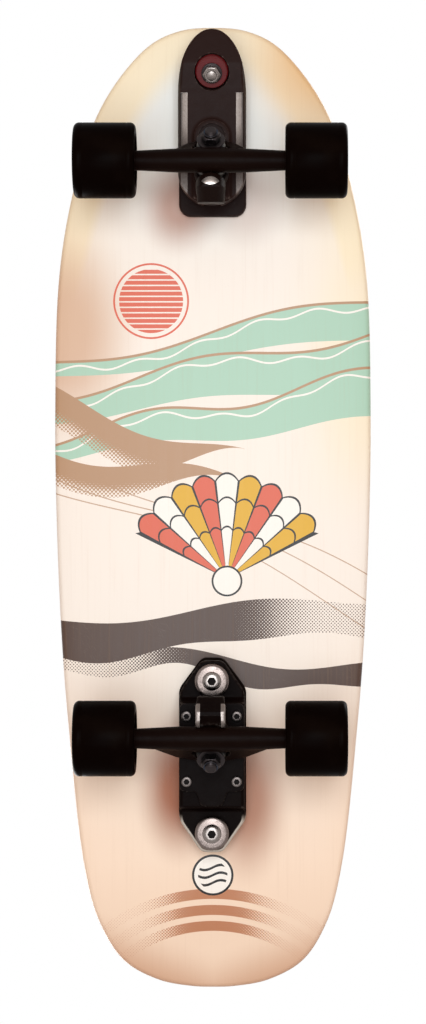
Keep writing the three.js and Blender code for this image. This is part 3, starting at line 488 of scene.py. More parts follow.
@dataclass(frozen=True)
class CastFinish(Finish):
    """Black coating over a casting, with a fine pebble, worn edges and a painted highlight along the edges.
    """

    relief: float = 0.3
    wear: float = 0.35
    sheen: float = 0.2

    def dress(self, canvas: Canvas, place: bpy.types.NodeSocket) -> dict[str, Any]:
        """Sets the pebbled coat, its uneven gloss, its worn edges with a painted highlight along them, and
        its scuffs.
        """
        normal, tone = cast_skin(canvas, Place=place, Relief=self.relief)
        scratched = scuffs(canvas, Place=place, Amount=self.wear)
        edge = canvas.stored("edge")
        chipped = edge.ramp(0.3, 0.75) * canvas.noise(place, 420.0).ramp(0.4, 0.62) * 0.7
        # The edges are painted lighter than the coat: partly wear, partly a painted highlight.
        rubbed = scratched.most(edge.ramp(0.2, 0.8) * 0.5)
        coat = canvas.paint(self.colour, toned(self.colour, 3.0, 0.004), rubbed)
        coat = canvas.paint(coat, srgb(150, 130, 112), dust(canvas, Place=place, Amount=0.006))
        coat = canvas.paint(coat, srgb(132, 122, 114), chipped * self.wear)
        gloss = tone * 0.22 + (self.roughness - 0.11) + scratched * 0.2
        coat, gloss, metal = self._bare(canvas, place, coat, gloss)
        skin = {"Base_Color": coat, "Roughness": gloss, "Metallic": metal, "Normal": normal}
        return skin | {"Specular_IOR_Level": self.sheen}

    def _bare(self, canvas: Canvas, place: Any, coat: Any, gloss: Any) -> tuple[Any, Any, Any]:
        """Lays bare metal over the coat where there is any.

        Args:
            canvas: The canvas of the material's tree.
            place: The place on the piece.
            coat: The coat's colour.
            gloss: The coat's roughness.

        Returns:
            The colour, the roughness and how far the surface is metal.
        """
        return coat, gloss, 0.0


@dataclass(frozen=True)
class MilledFinish(CastFinish):
    """A coated casting with faces that were milled bright after coating."""

    bright: Colour = srgb(190, 176, 168)
    toe: float = -10.93
    wall: float = 8.4
    brow: float = -24.5

    def _bare(self, canvas: Canvas, place: Any, coat: Any, gloss: Any) -> tuple[Any, Any, Any]:
        """Lays milled metal over the milled faces."""
        x, y, z = canvas.axes(place)
        milled = self._milled(x, y, z)
        marks = canvas.noise(canvas.combine(x * 4.0, y * 0.3, z * 0.3), 2.0)
        metal = canvas.paint(self.bright, toned(self.bright, 0.55), marks.ramp(0.35, 0.7))
        shine = milled * (marks * 0.16 + 0.3 - gloss) + gloss
        return canvas.paint(coat, metal, milled), shine, milled

    def _milled(self, x: Term, y: Term, z: Term) -> Term:
        """Returns where the toe of the leg is milled, outside the opening in it."""
        return z.below(self.toe) * x.size().above(self.wall).most(y.below(self.brow))


@dataclass(frozen=True)
class ArmFinish(MilledFinish):
    """The swing arm's coat, with a milled toe, a milled facet along each flank and painted shade on its leg.
    """

    inner: float = 20.1
    outer: float = 25.8
    front: float = 16.0
    back: float = 63.1
    fade: float = 26.0
    low: float = 53.9
    high: float = 57.6
    heel: float = -10.0
    heel_radius: float = 10.6
    # The colour of the painted shade on the leg.
    shade: Colour = srgb(17, 8, 6)

    def _bare(self, canvas: Canvas, place: Any, coat: Any, gloss: Any) -> tuple[Any, Any, Any]:
        """Darkens the leg towards its low end with painted shade before the milled metal is laid over it."""
        # Painted shade: the coat darkens below a height of 50 mm, most from 38 mm down.
        painted_shade = canvas.axes(place)[2].ramp(50, 38) * 0.8
        return super()._bare(canvas, place, canvas.paint(coat, self.shade, painted_shade), gloss)

    def _milled(self, x: Term, y: Term, z: Term) -> Term:
        """Returns where the toe and the flanks are milled, the flanks fading towards the truck.

        Args:
            x: The place across the arm.
            y: The place along it.
            z: The height.

        Returns:
            The mask.
        """
        across = x.size()
        flank = across.above(self.inner) * across.below(self.outer)
        flank = flank * y.below(self.back) * z.above(self.low) * z.below(self.high)
        heel = z.below(self.toe) * x.reach(y - self.heel).below(self.heel_radius)
        return (flank * y.ramp(self.front, self.front + self.fade, 0.3, 0.8)).most(heel)


@dataclass(frozen=True)
class RimFinish(CastFinish):
    """The coat of a plate whose bevels are bare metal with a painted highlight round its tail."""

    start: float = 72.0
    # The light colour of the tail bevels: bare metal and a painted highlight.
    rubbed: Colour = srgb(176, 164, 152)

    def _bare(self, canvas: Canvas, place: Any, coat: Any, gloss: Any) -> tuple[Any, Any, Any]:
        """Lays bare metal with a painted highlight over the edges near the tail."""
        y = canvas.axes(place)[1]
        # Painted highlight: the edges turn light and partly metal only towards the tail.
        bare = canvas.stored("edge").ramp(0.06, 0.3) * y.ramp(self.start - 4.0, self.start + 4.0)
        return canvas.paint(coat, self.rubbed, bare), gloss, bare * 0.6


@dataclass(frozen=True)
class SteelFinish(Finish):
    """Bright plated steel with tool marks round its own axis."""

    pitch: float = 0.45
    stain: float = 0.25

    def dress(self, canvas: Canvas, place: bpy.types.NodeSocket) -> dict[str, Any]:
        """Sets the plating, its tool marks and its stains."""
        x, y, _ = canvas.axes(place)
        normal, _ = turned_rings(canvas, Radius=x.reach(y), Pitch=self.pitch, Relief=0.12)
        stains = canvas.noise(place, 260.0, 4.0).ramp(0.5, 0.78)
        plating = canvas.paint(self.colour, toned(self.colour, 0.5), stains * self.stain)
        gloss = stains * 0.16 + scuffs(canvas, Place=place, Amount=0.5) * 0.15 + self.roughness
        return {"Base_Color": plating, "Roughness": gloss, "Normal": normal, "Metallic": 1.0}


@dataclass(frozen=True)
class UrethaneFinish(Finish):
    """Cast urethane: a smooth skin, a little light through it, and dust where it rolls."""

    through: float = 0.0
    dust: float = 0.12
    sheen: float = 0.3

    def dress(self, canvas: Canvas, place: bpy.types.NodeSocket) -> dict[str, Any]:
        """Sets the skin with its fine turning lines round X and its dust."""
        _, y, z = canvas.axes(place)
        normal, _ = turned_rings(canvas, Radius=y.reach(z), Pitch=1.3, Relief=0.1)
        cloud = dust(canvas, Place=place, Amount=self.dust)
        gloss = cloud * 0.5 + scuffs(canvas, Place=place, Amount=0.35) * 0.25 + self.roughness
        skin = {"Base_Color": canvas.paint(self.colour, srgb(112, 92, 76), cloud), "Roughness": gloss}
        skin |= {"Normal": normal, "Specular_IOR_Level": self.sheen}
        if self.through:
            skin |= {"Subsurface_Weight": self.through, "Subsurface_Radius": (0.004, 0.001, 0.0006)}
        return skin


@dataclass(frozen=True)
class PlasticFinish(Finish):
    """Moulded plastic with a faint flow pattern."""

    def dress(self, canvas: Canvas, place: bpy.types.NodeSocket) -> dict[str, Any]:
        """Sets the moulded skin."""
        flow = canvas.noise(place, 180.0)
        skin = canvas.paint(self.colour, toned(self.colour, 1.6, 0.01), flow * 0.5)
        gloss, normal = flow * 0.15 + self.roughness, canvas.bump(flow, 0.0002, 0.4)
        return {"Base_Color": skin, "Roughness": gloss, "Normal": normal, "Specular_IOR_Level": 0.12}


@dataclass(frozen=True)
class GripFinish(Finish):
    """Coarse black grip with glinting grains and trodden places."""

    def dress(self, canvas: Canvas, place: bpy.types.NodeSocket) -> dict[str, Any]:
        """Sets the grains, the trodden places and the dust between them."""
        grains = canvas.cells(place, 1700.0)
        height = grains * 0.6 + canvas.cells(place, 900.0) * 0.6
        trodden = canvas.noise(place, 7.0, 4.0).ramp(0.45, 0.7)
        settled = dust(canvas, Place=place, Amount=0.25) * grains.ramp(0.2, 0.6)
        colour = canvas.paint(self.colour, srgb(62, 60, 58), trodden * 0.35)
        colour = canvas.paint(colour, srgb(120, 112, 102), settled)
        gloss, normal = grains * 0.5 + self.roughness - 0.25, canvas.bump(height, 0.0005, 0.9)
        return {"Base_Color": colour, "Roughness": gloss, "Normal": normal}


@dataclass(frozen=True)
class PlyFinish(Finish):
    """The rail's bare plies, seen as stripes through the deck's thickness."""

    plies: int = 7
    light: Colour = srgb(214, 176, 128)
    dark: Colour = srgb(168, 118, 74)
    grain: Colour = srgb(120, 78, 46)
    glue: Colour = srgb(70, 44, 28)

    def dress(self, canvas: Canvas, place: bpy.types.NodeSocket) -> dict[str, Any]:
        """Sets light and dark plies with their grain and a clear coat."""
        level = canvas.stored("through")
        x, y, z = canvas.axes(place)
        crossed = (level * (self.plies / 2)).part().above(0.5)
        seam = (level * self.plies).part().below(0.09)
        fibre = canvas.noise(canvas.combine(x * 0.35, y * 0.03, z * 1.2), 2.2, 4.0)
        wood = canvas.paint(self.light, self.dark, crossed * 0.75)
        wood = canvas.paint(wood, self.grain, fibre.ramp(0.52, 0.8) * 0.5)
        wood = canvas.paint(wood, self.glue, seam * 0.8)
        gloss, normal = fibre * 0.2 + self.roughness, canvas.bump(fibre + seam * -0.5, 0.0002, 0.5)
        skin = {"Base_Color": wood, "Roughness": gloss, "Normal": normal}
        return skin | {"Coat_Weight": 0.25, "Coat_Roughness": 0.3}


class Layers:
    """A print laid down colour by colour, read from below: u to the right and v towards the nose."""

    def __init__(self, canvas: Canvas, u: Term, v: Term, ground: Any) -> None:
        """Starts from the ground's colour."""
        self.canvas, self.u, self.v, self.colour = canvas, u, v, ground

    def lay(self, colour: Colour, mask: Any) -> None:
        """Lays a colour over the print where a mask shows it."""
        self.colour = self.canvas.paint(self.colour, colour, mask)

    def away(self, at_u: float, at_v: float, wide: float = 1.0, long: float = 1.0) -> Term:
        """Returns how far a place is from a point, its two parts drawn out.

        Args:
            at_u: The point's place along u.
            at_v: Its place along v.
            wide: How far u is drawn out.
            long: How far v is drawn out.

        Returns:
            The distance.
        """
        u = self.u if wide == 1.0 else self.u * wide
        v = self.v if long == 1.0 else self.v * long
        return (u - at_u).reach(v - at_v)

    def wave(self, long: float, phase: float, high: float) -> Term:
        """Returns a wave along u."""
        return (self.u / long + phase).sine() * high

    def dots(self, pitch: float, density: Term) -> Term:
        """Returns the dots of a halftone."""
        return halftone(self.canvas, U=self.u, V=self.v, Pitch=pitch, Density=density)


@dataclass(frozen=True)
class PrintFinish(Finish):
    """The printed underside: a pale ground, waves, dunes, a low sun, halftone shade and painted shadows."""

    peach: Colour = srgb(250, 224, 200)
    glow: Colour = srgb(252, 236, 204)
    ember: Colour = srgb(232, 190, 138)
    dusk: Colour = srgb(210, 164, 132)
    mist: Colour = srgb(243, 242, 236)
    # The brown of the painted shadows beside the adapters.
    blush: Colour = srgb(160, 88, 48)
    mint: Colour = srgb(176, 212, 190)
    foam: Colour = srgb(253, 248, 240)
    tan: Colour = srgb(186, 148, 116)
    umber: Colour = srgb(82, 61, 51)
    coral: Colour = srgb(222, 104, 78)
    mustard: Colour = srgb(226, 176, 44)
    copper: Colour = srgb(192, 132, 98)
    ink: Colour = srgb(26, 22, 22)

    def dress(self, canvas: Canvas, place: bpy.types.NodeSocket) -> dict[str, Any]:
        """Sets the print, the wood's faint grain under it and its clear coat."""
        x, v, _ = canvas.axes(place)
        layers = Layers(canvas, x * -1.0, v, self.colour)
        for lay in (self._ground, self._sea, self._dunes, self._shell, self._dark_swells, self._tail):
            lay(layers)
        grain = canvas.noise(canvas.combine(x * 0.5, v * 0.012, 0.0), 1.0, 5.0)
        layers.lay(srgb(196, 160, 124), grain.ramp(0.5, 0.85) * 0.1)
        scratched = scuffs(canvas, Place=place, Amount=0.12)
        layers.lay(srgb(216, 200, 186), scratched)
        gloss = grain * 0.14 + scratched * 0.2 + self.roughness
        skin = {"Base_Color": layers.colour, "Roughness": gloss, "Specular_IOR_Level": 0.3}
        return skin | {"Normal": canvas.bump(grain, 0.0002, 0.25)}

    def _ground(self, layers: Layers) -> None:
        """Lays the mist at the nose, the glow along the rails, painted shadows by the adapters and the peach
        tail.

        Args:
            layers: The print so far.
        """
        canvas, u, v = layers.canvas, layers.u, layers.v
        swing = canvas.noise(canvas.combine(u * 0.011, v * 0.006, 0.0), 1.0, 1.0) * 44 - 22
        layers.lay(self.peach, (v * -1.0 + swing).ramp(70, 300))
        layers.lay(self.mist, (layers.away(0.0, 330.0) + swing).ramp(124, 68))
        left = (u * -1.0 + swing).ramp(66, 128) * v.ramp(60, 160) * 0.6
        right = (u + swing).ramp(52, 130) * v.ramp(-30, 90) * 0.8
        rail = layers.away(0.0, 40.0, wide=2.76).ramp(322, 356) * v.ramp(120, 220)
        layers.lay(self.glow, left.most(right).most(rail))
        # Painted shadows: soft brown patches beside the rear and the front adapter, stronger on one side.
        for at_u, at_v, long, level in (
            (-28.0, -234.0, 52.0, 1.0), (28.0, -242.0, 60.0, 0.85), (-28.0, 256.0, 34.0, 0.75),
            (28.0, 260.0, 34.0, 0.36),
        ):  # fmt: skip
            near = (u - at_u).reach(v * (30.0 / long) - at_v * 30.0 / long)
            layers.lay(self.blush, near.ramp(42, 8) * level)
        layers.lay(self.ember, layers.away(90.0, 378.0).ramp(80, 10))
        layers.lay(self.dusk, layers.away(-190.0, 150.0, wide=1.5).ramp(110, 24) * 0.75)
        layers.lay(self.dusk, (v * -1.0 + u.size() * 0.4).ramp(374, 424) * 0.85)

    def _sea(self, layers: Layers) -> None:
        """Lays three mint swells with foam lines, running up to the right, over a striped sun.

        Args:
            layers: The print so far.
        """
        u, v, sun = layers.u, layers.v, layers.away(-52.0, 176.0)
        layers.lay(self.coral, sun.below(27.0) * (v / 4.6).part().above(0.26))
        layers.lay(self.coral, sun.below(32.0) * sun.above(30.4))
        for top, low, long, phase in ((150, 128, 40, 0.0), (124, 92, 33, 1.9), (88, 60, 27, 3.6)):
            rise = layers.wave(long, phase, 7) + u * 0.2
            upper, lower = v - rise - float(top), v - rise * 0.6 - float(low)
            band = upper.below(0.0) * lower.above(0.0)
            layers.lay(self.mint, band)
            layers.lay(self.tan, upper.size().below(1.1))
            layers.lay(self.foam, (upper + 6 + layers.wave(8, phase, 2.4)).size().below(0.8) * band)

    def _dunes(self, layers: Layers) -> None:
        """Lays two tan dunes at the left rail, their lower slopes breaking into dots.

        Args:
            layers: The print so far.
        """
        u, v = layers.u, layers.v
        for height, lean, phase, reach in ((52, -0.34, 0.4, 34), (26, -0.2, 2.0, 26)):
            crest = v - (layers.wave(30, phase, 9) + u * lean + float(height))
            body = crest.below(0.0) * crest.above(u.ramp(30, -80, 0.0, -float(reach)))
            fading = (crest / reach).ramp(-1.0, -0.3, 0.55, 1.3)
            layers.lay(self.tan, body * layers.dots(3.4, fading))
        for step in range(3):
            line = v - (layers.wave(58, 0.7 * step, 13) - u * 0.45 - 6.0 - 15.0 * step)
            layers.lay(self.tan, line.size().below(0.5) * 0.85)

    def _shell(self, layers: Layers) -> None:
        """Lays an open fan shell on its hinge, its ribs in turn coral, white and mustard.

        Args:
            layers: The print so far.
        """
        hinge_u, hinge_v, reach, ribs, half = 12.0, -58.0, 88.0, 9.0, math.radians(62)
        turn = (layers.u - hinge_u).angle(layers.v - hinge_v)
        distance = layers.away(hinge_u, hinge_v)
        place = (turn / (2 * half) + 0.5) * ribs
        share = place.part() - 0.5
        rim = share * share * -26.0 + reach
        within = turn.size().below(half)
        shell = within * distance.below(rim)
        layers.lay(self.ink, turn.size().below(half + 0.03) * distance.below(rim + 1.8))
        layers.lay(self.foam, shell)
        third = ((place - place.part()) / 3).part()
        layers.lay(self.coral, shell * third.below(0.2))
        layers.lay(self.mustard, shell * third.above(0.5))
        for ring in (0.5, 0.78):
            layers.lay(self.ink, (distance - rim * ring).size().below(0.8) * within)
        layers.lay(self.ink, shell * (share.size().above(0.5 - 0.75 / 16) * distance.above(12.0)))
        knob = layers.away(hinge_u, hinge_v - 2.0)
        layers.lay(self.ink, knob.below(13.0))
        layers.lay(self.foam, knob.below(11.4))

    def _dark_swells(self, layers: Layers) -> None:
        """Lays two dark swells across the board, the far end of each in halftone.

        Args:
            layers: The print so far.
        """
        u = layers.u
        for top, deep, long, phase, way in ((-84, 30, 36, 0.5, 1), (-124, 17, 29, 2.6, -1)):
            crest = layers.v - (layers.wave(long, phase, 6) + u * 0.07 * way + float(top))
            floor = crest + float(deep) + (u / (long * 0.6)).sine() * 4
            density = (u * float(way)).ramp(-10, 96, 1.25, 0.42)
            layers.lay(self.umber, crest.below(0.0) * floor.above(0.0) * layers.dots(2.9, density))

    def _tail(self, layers: Layers) -> None:
        """Lays a plain round mark and three copper ripples of dots behind the rear truck.

        Args:
            layers: The print so far.
        """
        u, mark = layers.u, 308.0
        ripple = layers.away(0.0, -470.0)
        for radius in (118.0, 132.0, 146.0):
            dots = layers.dots(2.6, u.size().ramp(70, 6, 0.2, 1.1))
            layers.lay(self.copper, (ripple - radius).size().below(4.4) * dots)
        badge = layers.away(0.0, -mark)
        layers.lay(self.ink, badge.below(17.5))
        layers.lay(self.foam, badge.below(15.6))
        for offset in (-6.5, 0.0, 6.5):
            wave = (layers.v + mark + offset - (u / 4.4).sine() * 2.2).size()
            layers.lay(self.ink, wave.below(1.1) * badge.below(12.4))


BLACK_COAT = CastFinish("Black coat", srgb(27, 13, 10), 0.42, sheen=0.04)
ARM_COAT = ArmFinish("Swing arm coat", srgb(37, 22, 19), 0.4, wear=0.45, sheen=0.04, toe=-7.8)
RIM_COAT = RimFinish("Tilt plate coat", srgb(11, 4, 3), 0.42, sheen=0.02)
LEG_COAT = MilledFinish(
    "Truck base coat", srgb(11, 4, 3), 0.42, sheen=0.025, bright=srgb(136, 124, 118), toe=-4.0, brow=-40.0
)
HANGER_COAT = CastFinish("Hanger coat", srgb(16, 6, 4), 0.4, relief=0.22, sheen=0.02)
PLATED = SteelFinish("Plated steel", srgb(128, 118, 113), 0.24, stain=0.5)
CUP_STEEL = SteelFinish("Cup washer steel", srgb(110, 97, 92), 0.27, stain=0.6)
SCREW_STEEL = SteelFinish("Screw steel", srgb(76, 68, 65), 0.3, stain=0.6)
DARK_STEEL = SteelFinish("Dark steel", srgb(50, 44, 44), 0.36)
# Painted shade: a dark finish in the sockets of the bolts and screws and on the tilt bolts' head sides.
SOCKET_SHADE = PlasticFinish("Painted shade in the sockets", srgb(20, 15, 14), 0.7)
WHEEL_BLACK = UrethaneFinish("Black wheel urethane", srgb(8, 3, 2), 0.3, dust=0.015, sheen=0.005)
BUSHING_RED = UrethaneFinish("Red urethane", srgb(90, 5, 11), 0.38, through=0.1, dust=0.05)
BUSHING_BLACK = UrethaneFinish("Black bushing urethane", srgb(17, 14, 14), 0.36, dust=0.06)
CUP_BLACK = PlasticFinish("Black moulded cup", srgb(22, 20, 20), 0.5)
NYLON = PlasticFinish("Lock nut collar", srgb(52, 60, 74), 0.45)
HUB_BLACK = PlasticFinish("Wheel core", srgb(22, 20, 20), 0.42)
GRIP_BLACK = GripFinish("Grip tape", srgb(28, 27, 27), 0.92)
PLY_WOOD = PlyFinish("Rail plies", srgb(206, 168, 122), 0.38)
DECK_PRINT = PrintFinish("Printed underside", srgb(250, 240, 229), 0.36)


# Meshes


class Draft:
    """Points and faces of a surface, in millimetres, with the finish that each face takes."""

    def __init__(self) -> None:
        """Starts empty."""
        self.points: list[Vector] = []
        self.faces: list[tuple[int, ...]] = []
        self.slots: list[int] = []

    def face(self, numbers: Sequence[int], slot: int = 0) -> None:
        """Adds a face over points that are there."""
        self.faces.append(tuple(numbers))
        self.slots.append(slot)

    def skin(
        self, rings: Iterable[Sequence[Vector]], slots: Sequence[int] = (), closed: bool = False
    ) -> list[list[int]]:
        """Adds rings of points, each joined to the next by a strip of faces.

        Args:
            rings: The rings. A ring of one point makes a tip.
            slots: The finish of each strip, 0 where it isn't given.
            closed: Whether the last ring joins the first.

        Returns:
            The numbers of each ring's points.
        """
        numbers = []
        for points in rings:
            numbers.append(list(range(len(self.points), len(self.points) + len(points))))
            self.points.extend(points)
        pairs = list(zip(numbers, numbers[1:]))
        if closed:
            pairs.append((numbers[-1], numbers[0]))
        for strip, (low, high) in enumerate(pairs):
            count = max(len(low), len(high))
            for near in range(count):
                far = (near + 1) % count
                tip_below, tip_above = len(low) == 1, len(high) == 1
                lower = [low[0]] if tip_below else [low[near], low[far]]
                upper = [high[0]] if tip_above else [high[far], high[near]]
                self.face(lower + upper, slots[strip] if strip < len(slots) else 0)
        return numbers

    def moved(self, matrix: Matrix) -> "Draft":
        """Returns a copy at another place.

        Args:
            matrix: The move, in millimetres.

        Returns:
            The copy.
        """
        copy = Draft()
        copy.points = [matrix @ point for point in self.points]
        copy.faces, copy.slots = list(self.faces), list(self.slots)
        return copy

    def joined(self, other: "Draft") -> "Draft":
        """Returns this draft and another as one.

        Args:
            other: The draft whose faces are added.

        Returns:
            The two as one.
        """
        whole = self.moved(Matrix.Identity(4))
        base = len(whole.points)
        whole.points += other.points
        whole.faces += [tuple(i + base for i in face) for face in other.faces]
        whole.slots += other.slots
        return whole

    def mesh(self, name: str, finishes: Sequence[Finish] = (), sharp: float = 32.0) -> bpy.types.Mesh:
        """Makes the mesh in metres, its faces outward.

        Args:
            name: The mesh's name.
            finishes: The finishes that the faces' slots count in.
            sharp: The angle in degrees above which an edge stays sharp.

        Returns:
            The mesh.
        """
        made = bpy.data.meshes.new(name)
        made.from_pydata([point * MM for point in self.points], [], self.faces)
        made.polygons.foreach_set("material_index", self.slots)
        for finish in finishes:
            made.materials.append(finish.material())
        work = bmesh.new()
        work.from_mesh(made)
        bmesh.ops.recalc_face_normals(work, faces=work.faces)
        work.to_mesh(made)
        work.free()
        made.shade_smooth()
        made.set_sharp_from_angle(angle=math.radians(sharp))
        return made


def loft(rings: Sequence[tuple[Radius, float]], count: int, **options: Any) -> Draft:
    """A surface through rings about Z.

    Args:
        rings: The radius and height of each ring. A radius may be a function of the angle, and 0
            makes a point.
        count: How many points each ring has.
        options: What the draft's skin takes besides its rings.

    Returns:
        The surface.
    """
    turns = [TAU * i / count for i in range(count)]
    placed = []
    for radius, height in rings:
        reaches = [(radius(turn) if callable(radius) else radius, turn) for turn in turns]
        ring = [Vector((reach * math.cos(turn), reach * math.sin(turn), height)) for reach, turn in reaches]
        placed.append([Vector((0, 0, height))] if radius == 0 else ring)
    draft = Draft()
    draft.skin(placed, **options)
    return draft


def hexagonal(across: float) -> Callable[[float], float]:
    """Returns the outline of a hexagon as a function of the angle, from its size across flats."""
    return lambda angle: across / 2 / math.cos((angle % (TAU / 6)) - TAU / 12)


def rod(radius: float, low: float, high: float, count: int = 48) -> Draft:
    """Returns a plain round bar about Z."""
    return loft([(0, low), (radius, low), (radius, high), (0, high)], count)


def bend(before: Vector, corner: Vector, after: Vector, radius: float, steps: int) -> list[Point]:
    """Returns the rounding of a corner, from its neighbours and how far from it the rounding starts.

    Args:
        before: The corner before it.
        corner: The corner.
        after: The corner after it.
        radius: How far from it the rounding starts.
        steps: How many pieces the rounding has.

    Returns:
        The rounding's points.
    """
    start = corner + (before - corner).normalized() * radius
    end = corner + (after - corner).normalized() * radius
    turns = [i / steps for i in range(steps + 1)]
    points = [start.lerp(corner, turn).lerp(corner.lerp(end, turn), turn) for turn in turns]
    return [(point.x, point.y) for point in points]


def eased(points: Sequence[Point], radius: float) -> list[Point]:
    """Returns an open profile with its corners rounded.

    Args:
        points: The profile's corners.
        radius: How far from a corner its rounding starts at most.

    Returns:
        The profile with its roundings.
    """
    places = [Vector(point) for point in points]
    out = [points[0]]
    for before, here, after in zip(places, places[1:], places[2:]):
        reach = min(radius, (before - here).length / 2, (after - here).length / 2)
        out += bend(before, here, after, reach, 3)
    return [*out, points[-1]]


def rounded(corners: Sequence[tuple[float, float, float]]) -> list[Point]:
    """Returns a closed outline from its corners and how far from each its rounding starts.

    Args:
        corners: The place of each corner and how far from it its rounding starts.

    Returns:
        The outline.
    """
    places = [Vector((x, y)) for x, y, _ in corners]
    out = []
    for i, (_, _, radius) in enumerate(corners):
        out += bend(places[i - 1], places[i], places[(i + 1) % len(places)], radius, 6)
    return out


def mirrored(right: Sequence[tuple[float, ...]]) -> list[tuple[float, ...]]:
    """Returns one side of an outline with its mirror image after it, the first part made negative."""
    return [*right, *((-x, *rest) for x, *rest in reversed(right))]


def arc(centre: Point, radius: float, start: float, sweep: float, steps: int) -> list[Point]:
    """Returns points on part of a circle.

    Args:
        centre: Its centre.
        radius: Its radius, or one radius for each of the two directions.
        start: The angle where it starts.
        sweep: The angle that it covers.
        steps: How many pieces it has.

    Returns:
        The points.
    """
    turns = [start + sweep * i / steps for i in range(steps + 1)]
    return [(centre[0] + radius * math.cos(turn), centre[1] + radius * math.sin(turn)) for turn in turns]


def prism(outline: Sequence[Point], low: float, high: float) -> Draft:
    """Returns a flat outline made thick along Z.

    Args:
        outline: The outline.
        low: The height of its underside.
        high: The height of its top.

    Returns:
        The body.
    """
    draft = Draft()
    bottom, top = draft.skin([[Vector((x, y, height)) for x, y in outline] for height in (low, high)])
    draft.face(bottom[::-1])
    draft.face(top)
    return draft


def side_slab(outline: Sequence[Point], half: float) -> Draft:
    """Returns a side view, as places along Y and Z, made thick along X to both sides."""
    turned = Matrix(((0, 0, 1, 0), (1, 0, 0, 0), (0, 1, 0, 0), (0, 0, 0, 1)))
    return prism(outline, -half, half).moved(turned)


def end_slab(outline: Sequence[Point], low: float, high: float) -> Draft:
    """Returns an end view, as places along X and Z, made thick along Y."""
    turned = Matrix(((1, 0, 0, 0), (0, 0, 1, 0), (0, 1, 0, 0), (0, 0, 0, 1)))
    return prism(outline, low, high).moved(turned)


def hull(points: Iterable[Vector]) -> Draft:
    """Returns the tightest convex body round points.

    Args:
        points: The points.

    Returns:
        The body.
    """
    work = bmesh.new()
    for point in points:
        work.verts.new(point)
    found = bmesh.ops.convex_hull(work, input=work.verts)
    unused = [part for part in found["geom_interior"] if isinstance(part, bmesh.types.BMVert)]
    bmesh.ops.delete(work, geom=unused, context="VERTS")
    work.verts.index_update()
    draft = Draft()
    draft.points = [vertex.co.copy() for vertex in work.verts]
    for face in work.faces:
        draft.face([vertex.index for vertex in face.verts])
    work.free()
    return draft


def arch(half: float, shoulder: float, tip: float, tail: Sequence[Point]) -> list[Point]:
    """A long outline whose front end runs to a pointed arch.

    Args:
        half: Half of its width.
        shoulder: Where the arch starts along Y.
        tip: Where it ends.
        tail: The outline's other end, from left to right.

    Returns:
        The outline.
    """
    steep, steps = 0.62, 32
    ends = [(half, shoulder), (half, shoulder + (tip - shoulder) * steep), (half / 2, tip), (0, tip)]
    right = []
    for turn in (i / steps for i in range(steps + 1)):
        weights = ((1 - turn) ** 3, 3 * turn * (1 - turn) ** 2, 3 * turn**2 * (1 - turn), turn**3)
        point = sum((Vector(end) * weight for end, weight in zip(ends, weights)), Vector((0, 0)))
        right.append((point.x, point.y))
    return [*right, *((-x, y) for x, y in reversed(right[:-1])), *tail]


ALONG_X = Matrix.Rotation(math.radians(90), 4, "Y")
AGAINST_X = Matrix.Rotation(math.radians(-90), 4, "Y")
ALONG_BACK = Matrix.Rotation(math.radians(90), 4, "X")
UPSIDE_DOWN = Matrix.Rotation(math.pi, 4, "X")
ABOUT_FACE = Matrix.Rotation(math.pi, 4, "Z")


def shift(x: float, y: float, z: float) -> Matrix:
    """Returns a move without a turn."""
    return Matrix.Translation(Vector((x, y, z)))


def new_object(name: str, data: Any) -> bpy.types.Object:
    """Adds an object with its data to the scene.

    Args:
        name: Its name.
        data: Its mesh, lamp or camera.

    Returns:
        The object.
    """
    made = bpy.data.objects.new(name, data)
    bpy.context.scene.collection.objects.link(made)
    return made


def node_box(node: str) -> tuple[Vector, Vector, Vector]:
    """Returns a node's lowest corner, its middle and its highest corner, in millimetres."""
    low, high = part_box(node)
    return low / MM, (low + high) / 2 / MM, high / MM


# Pieces


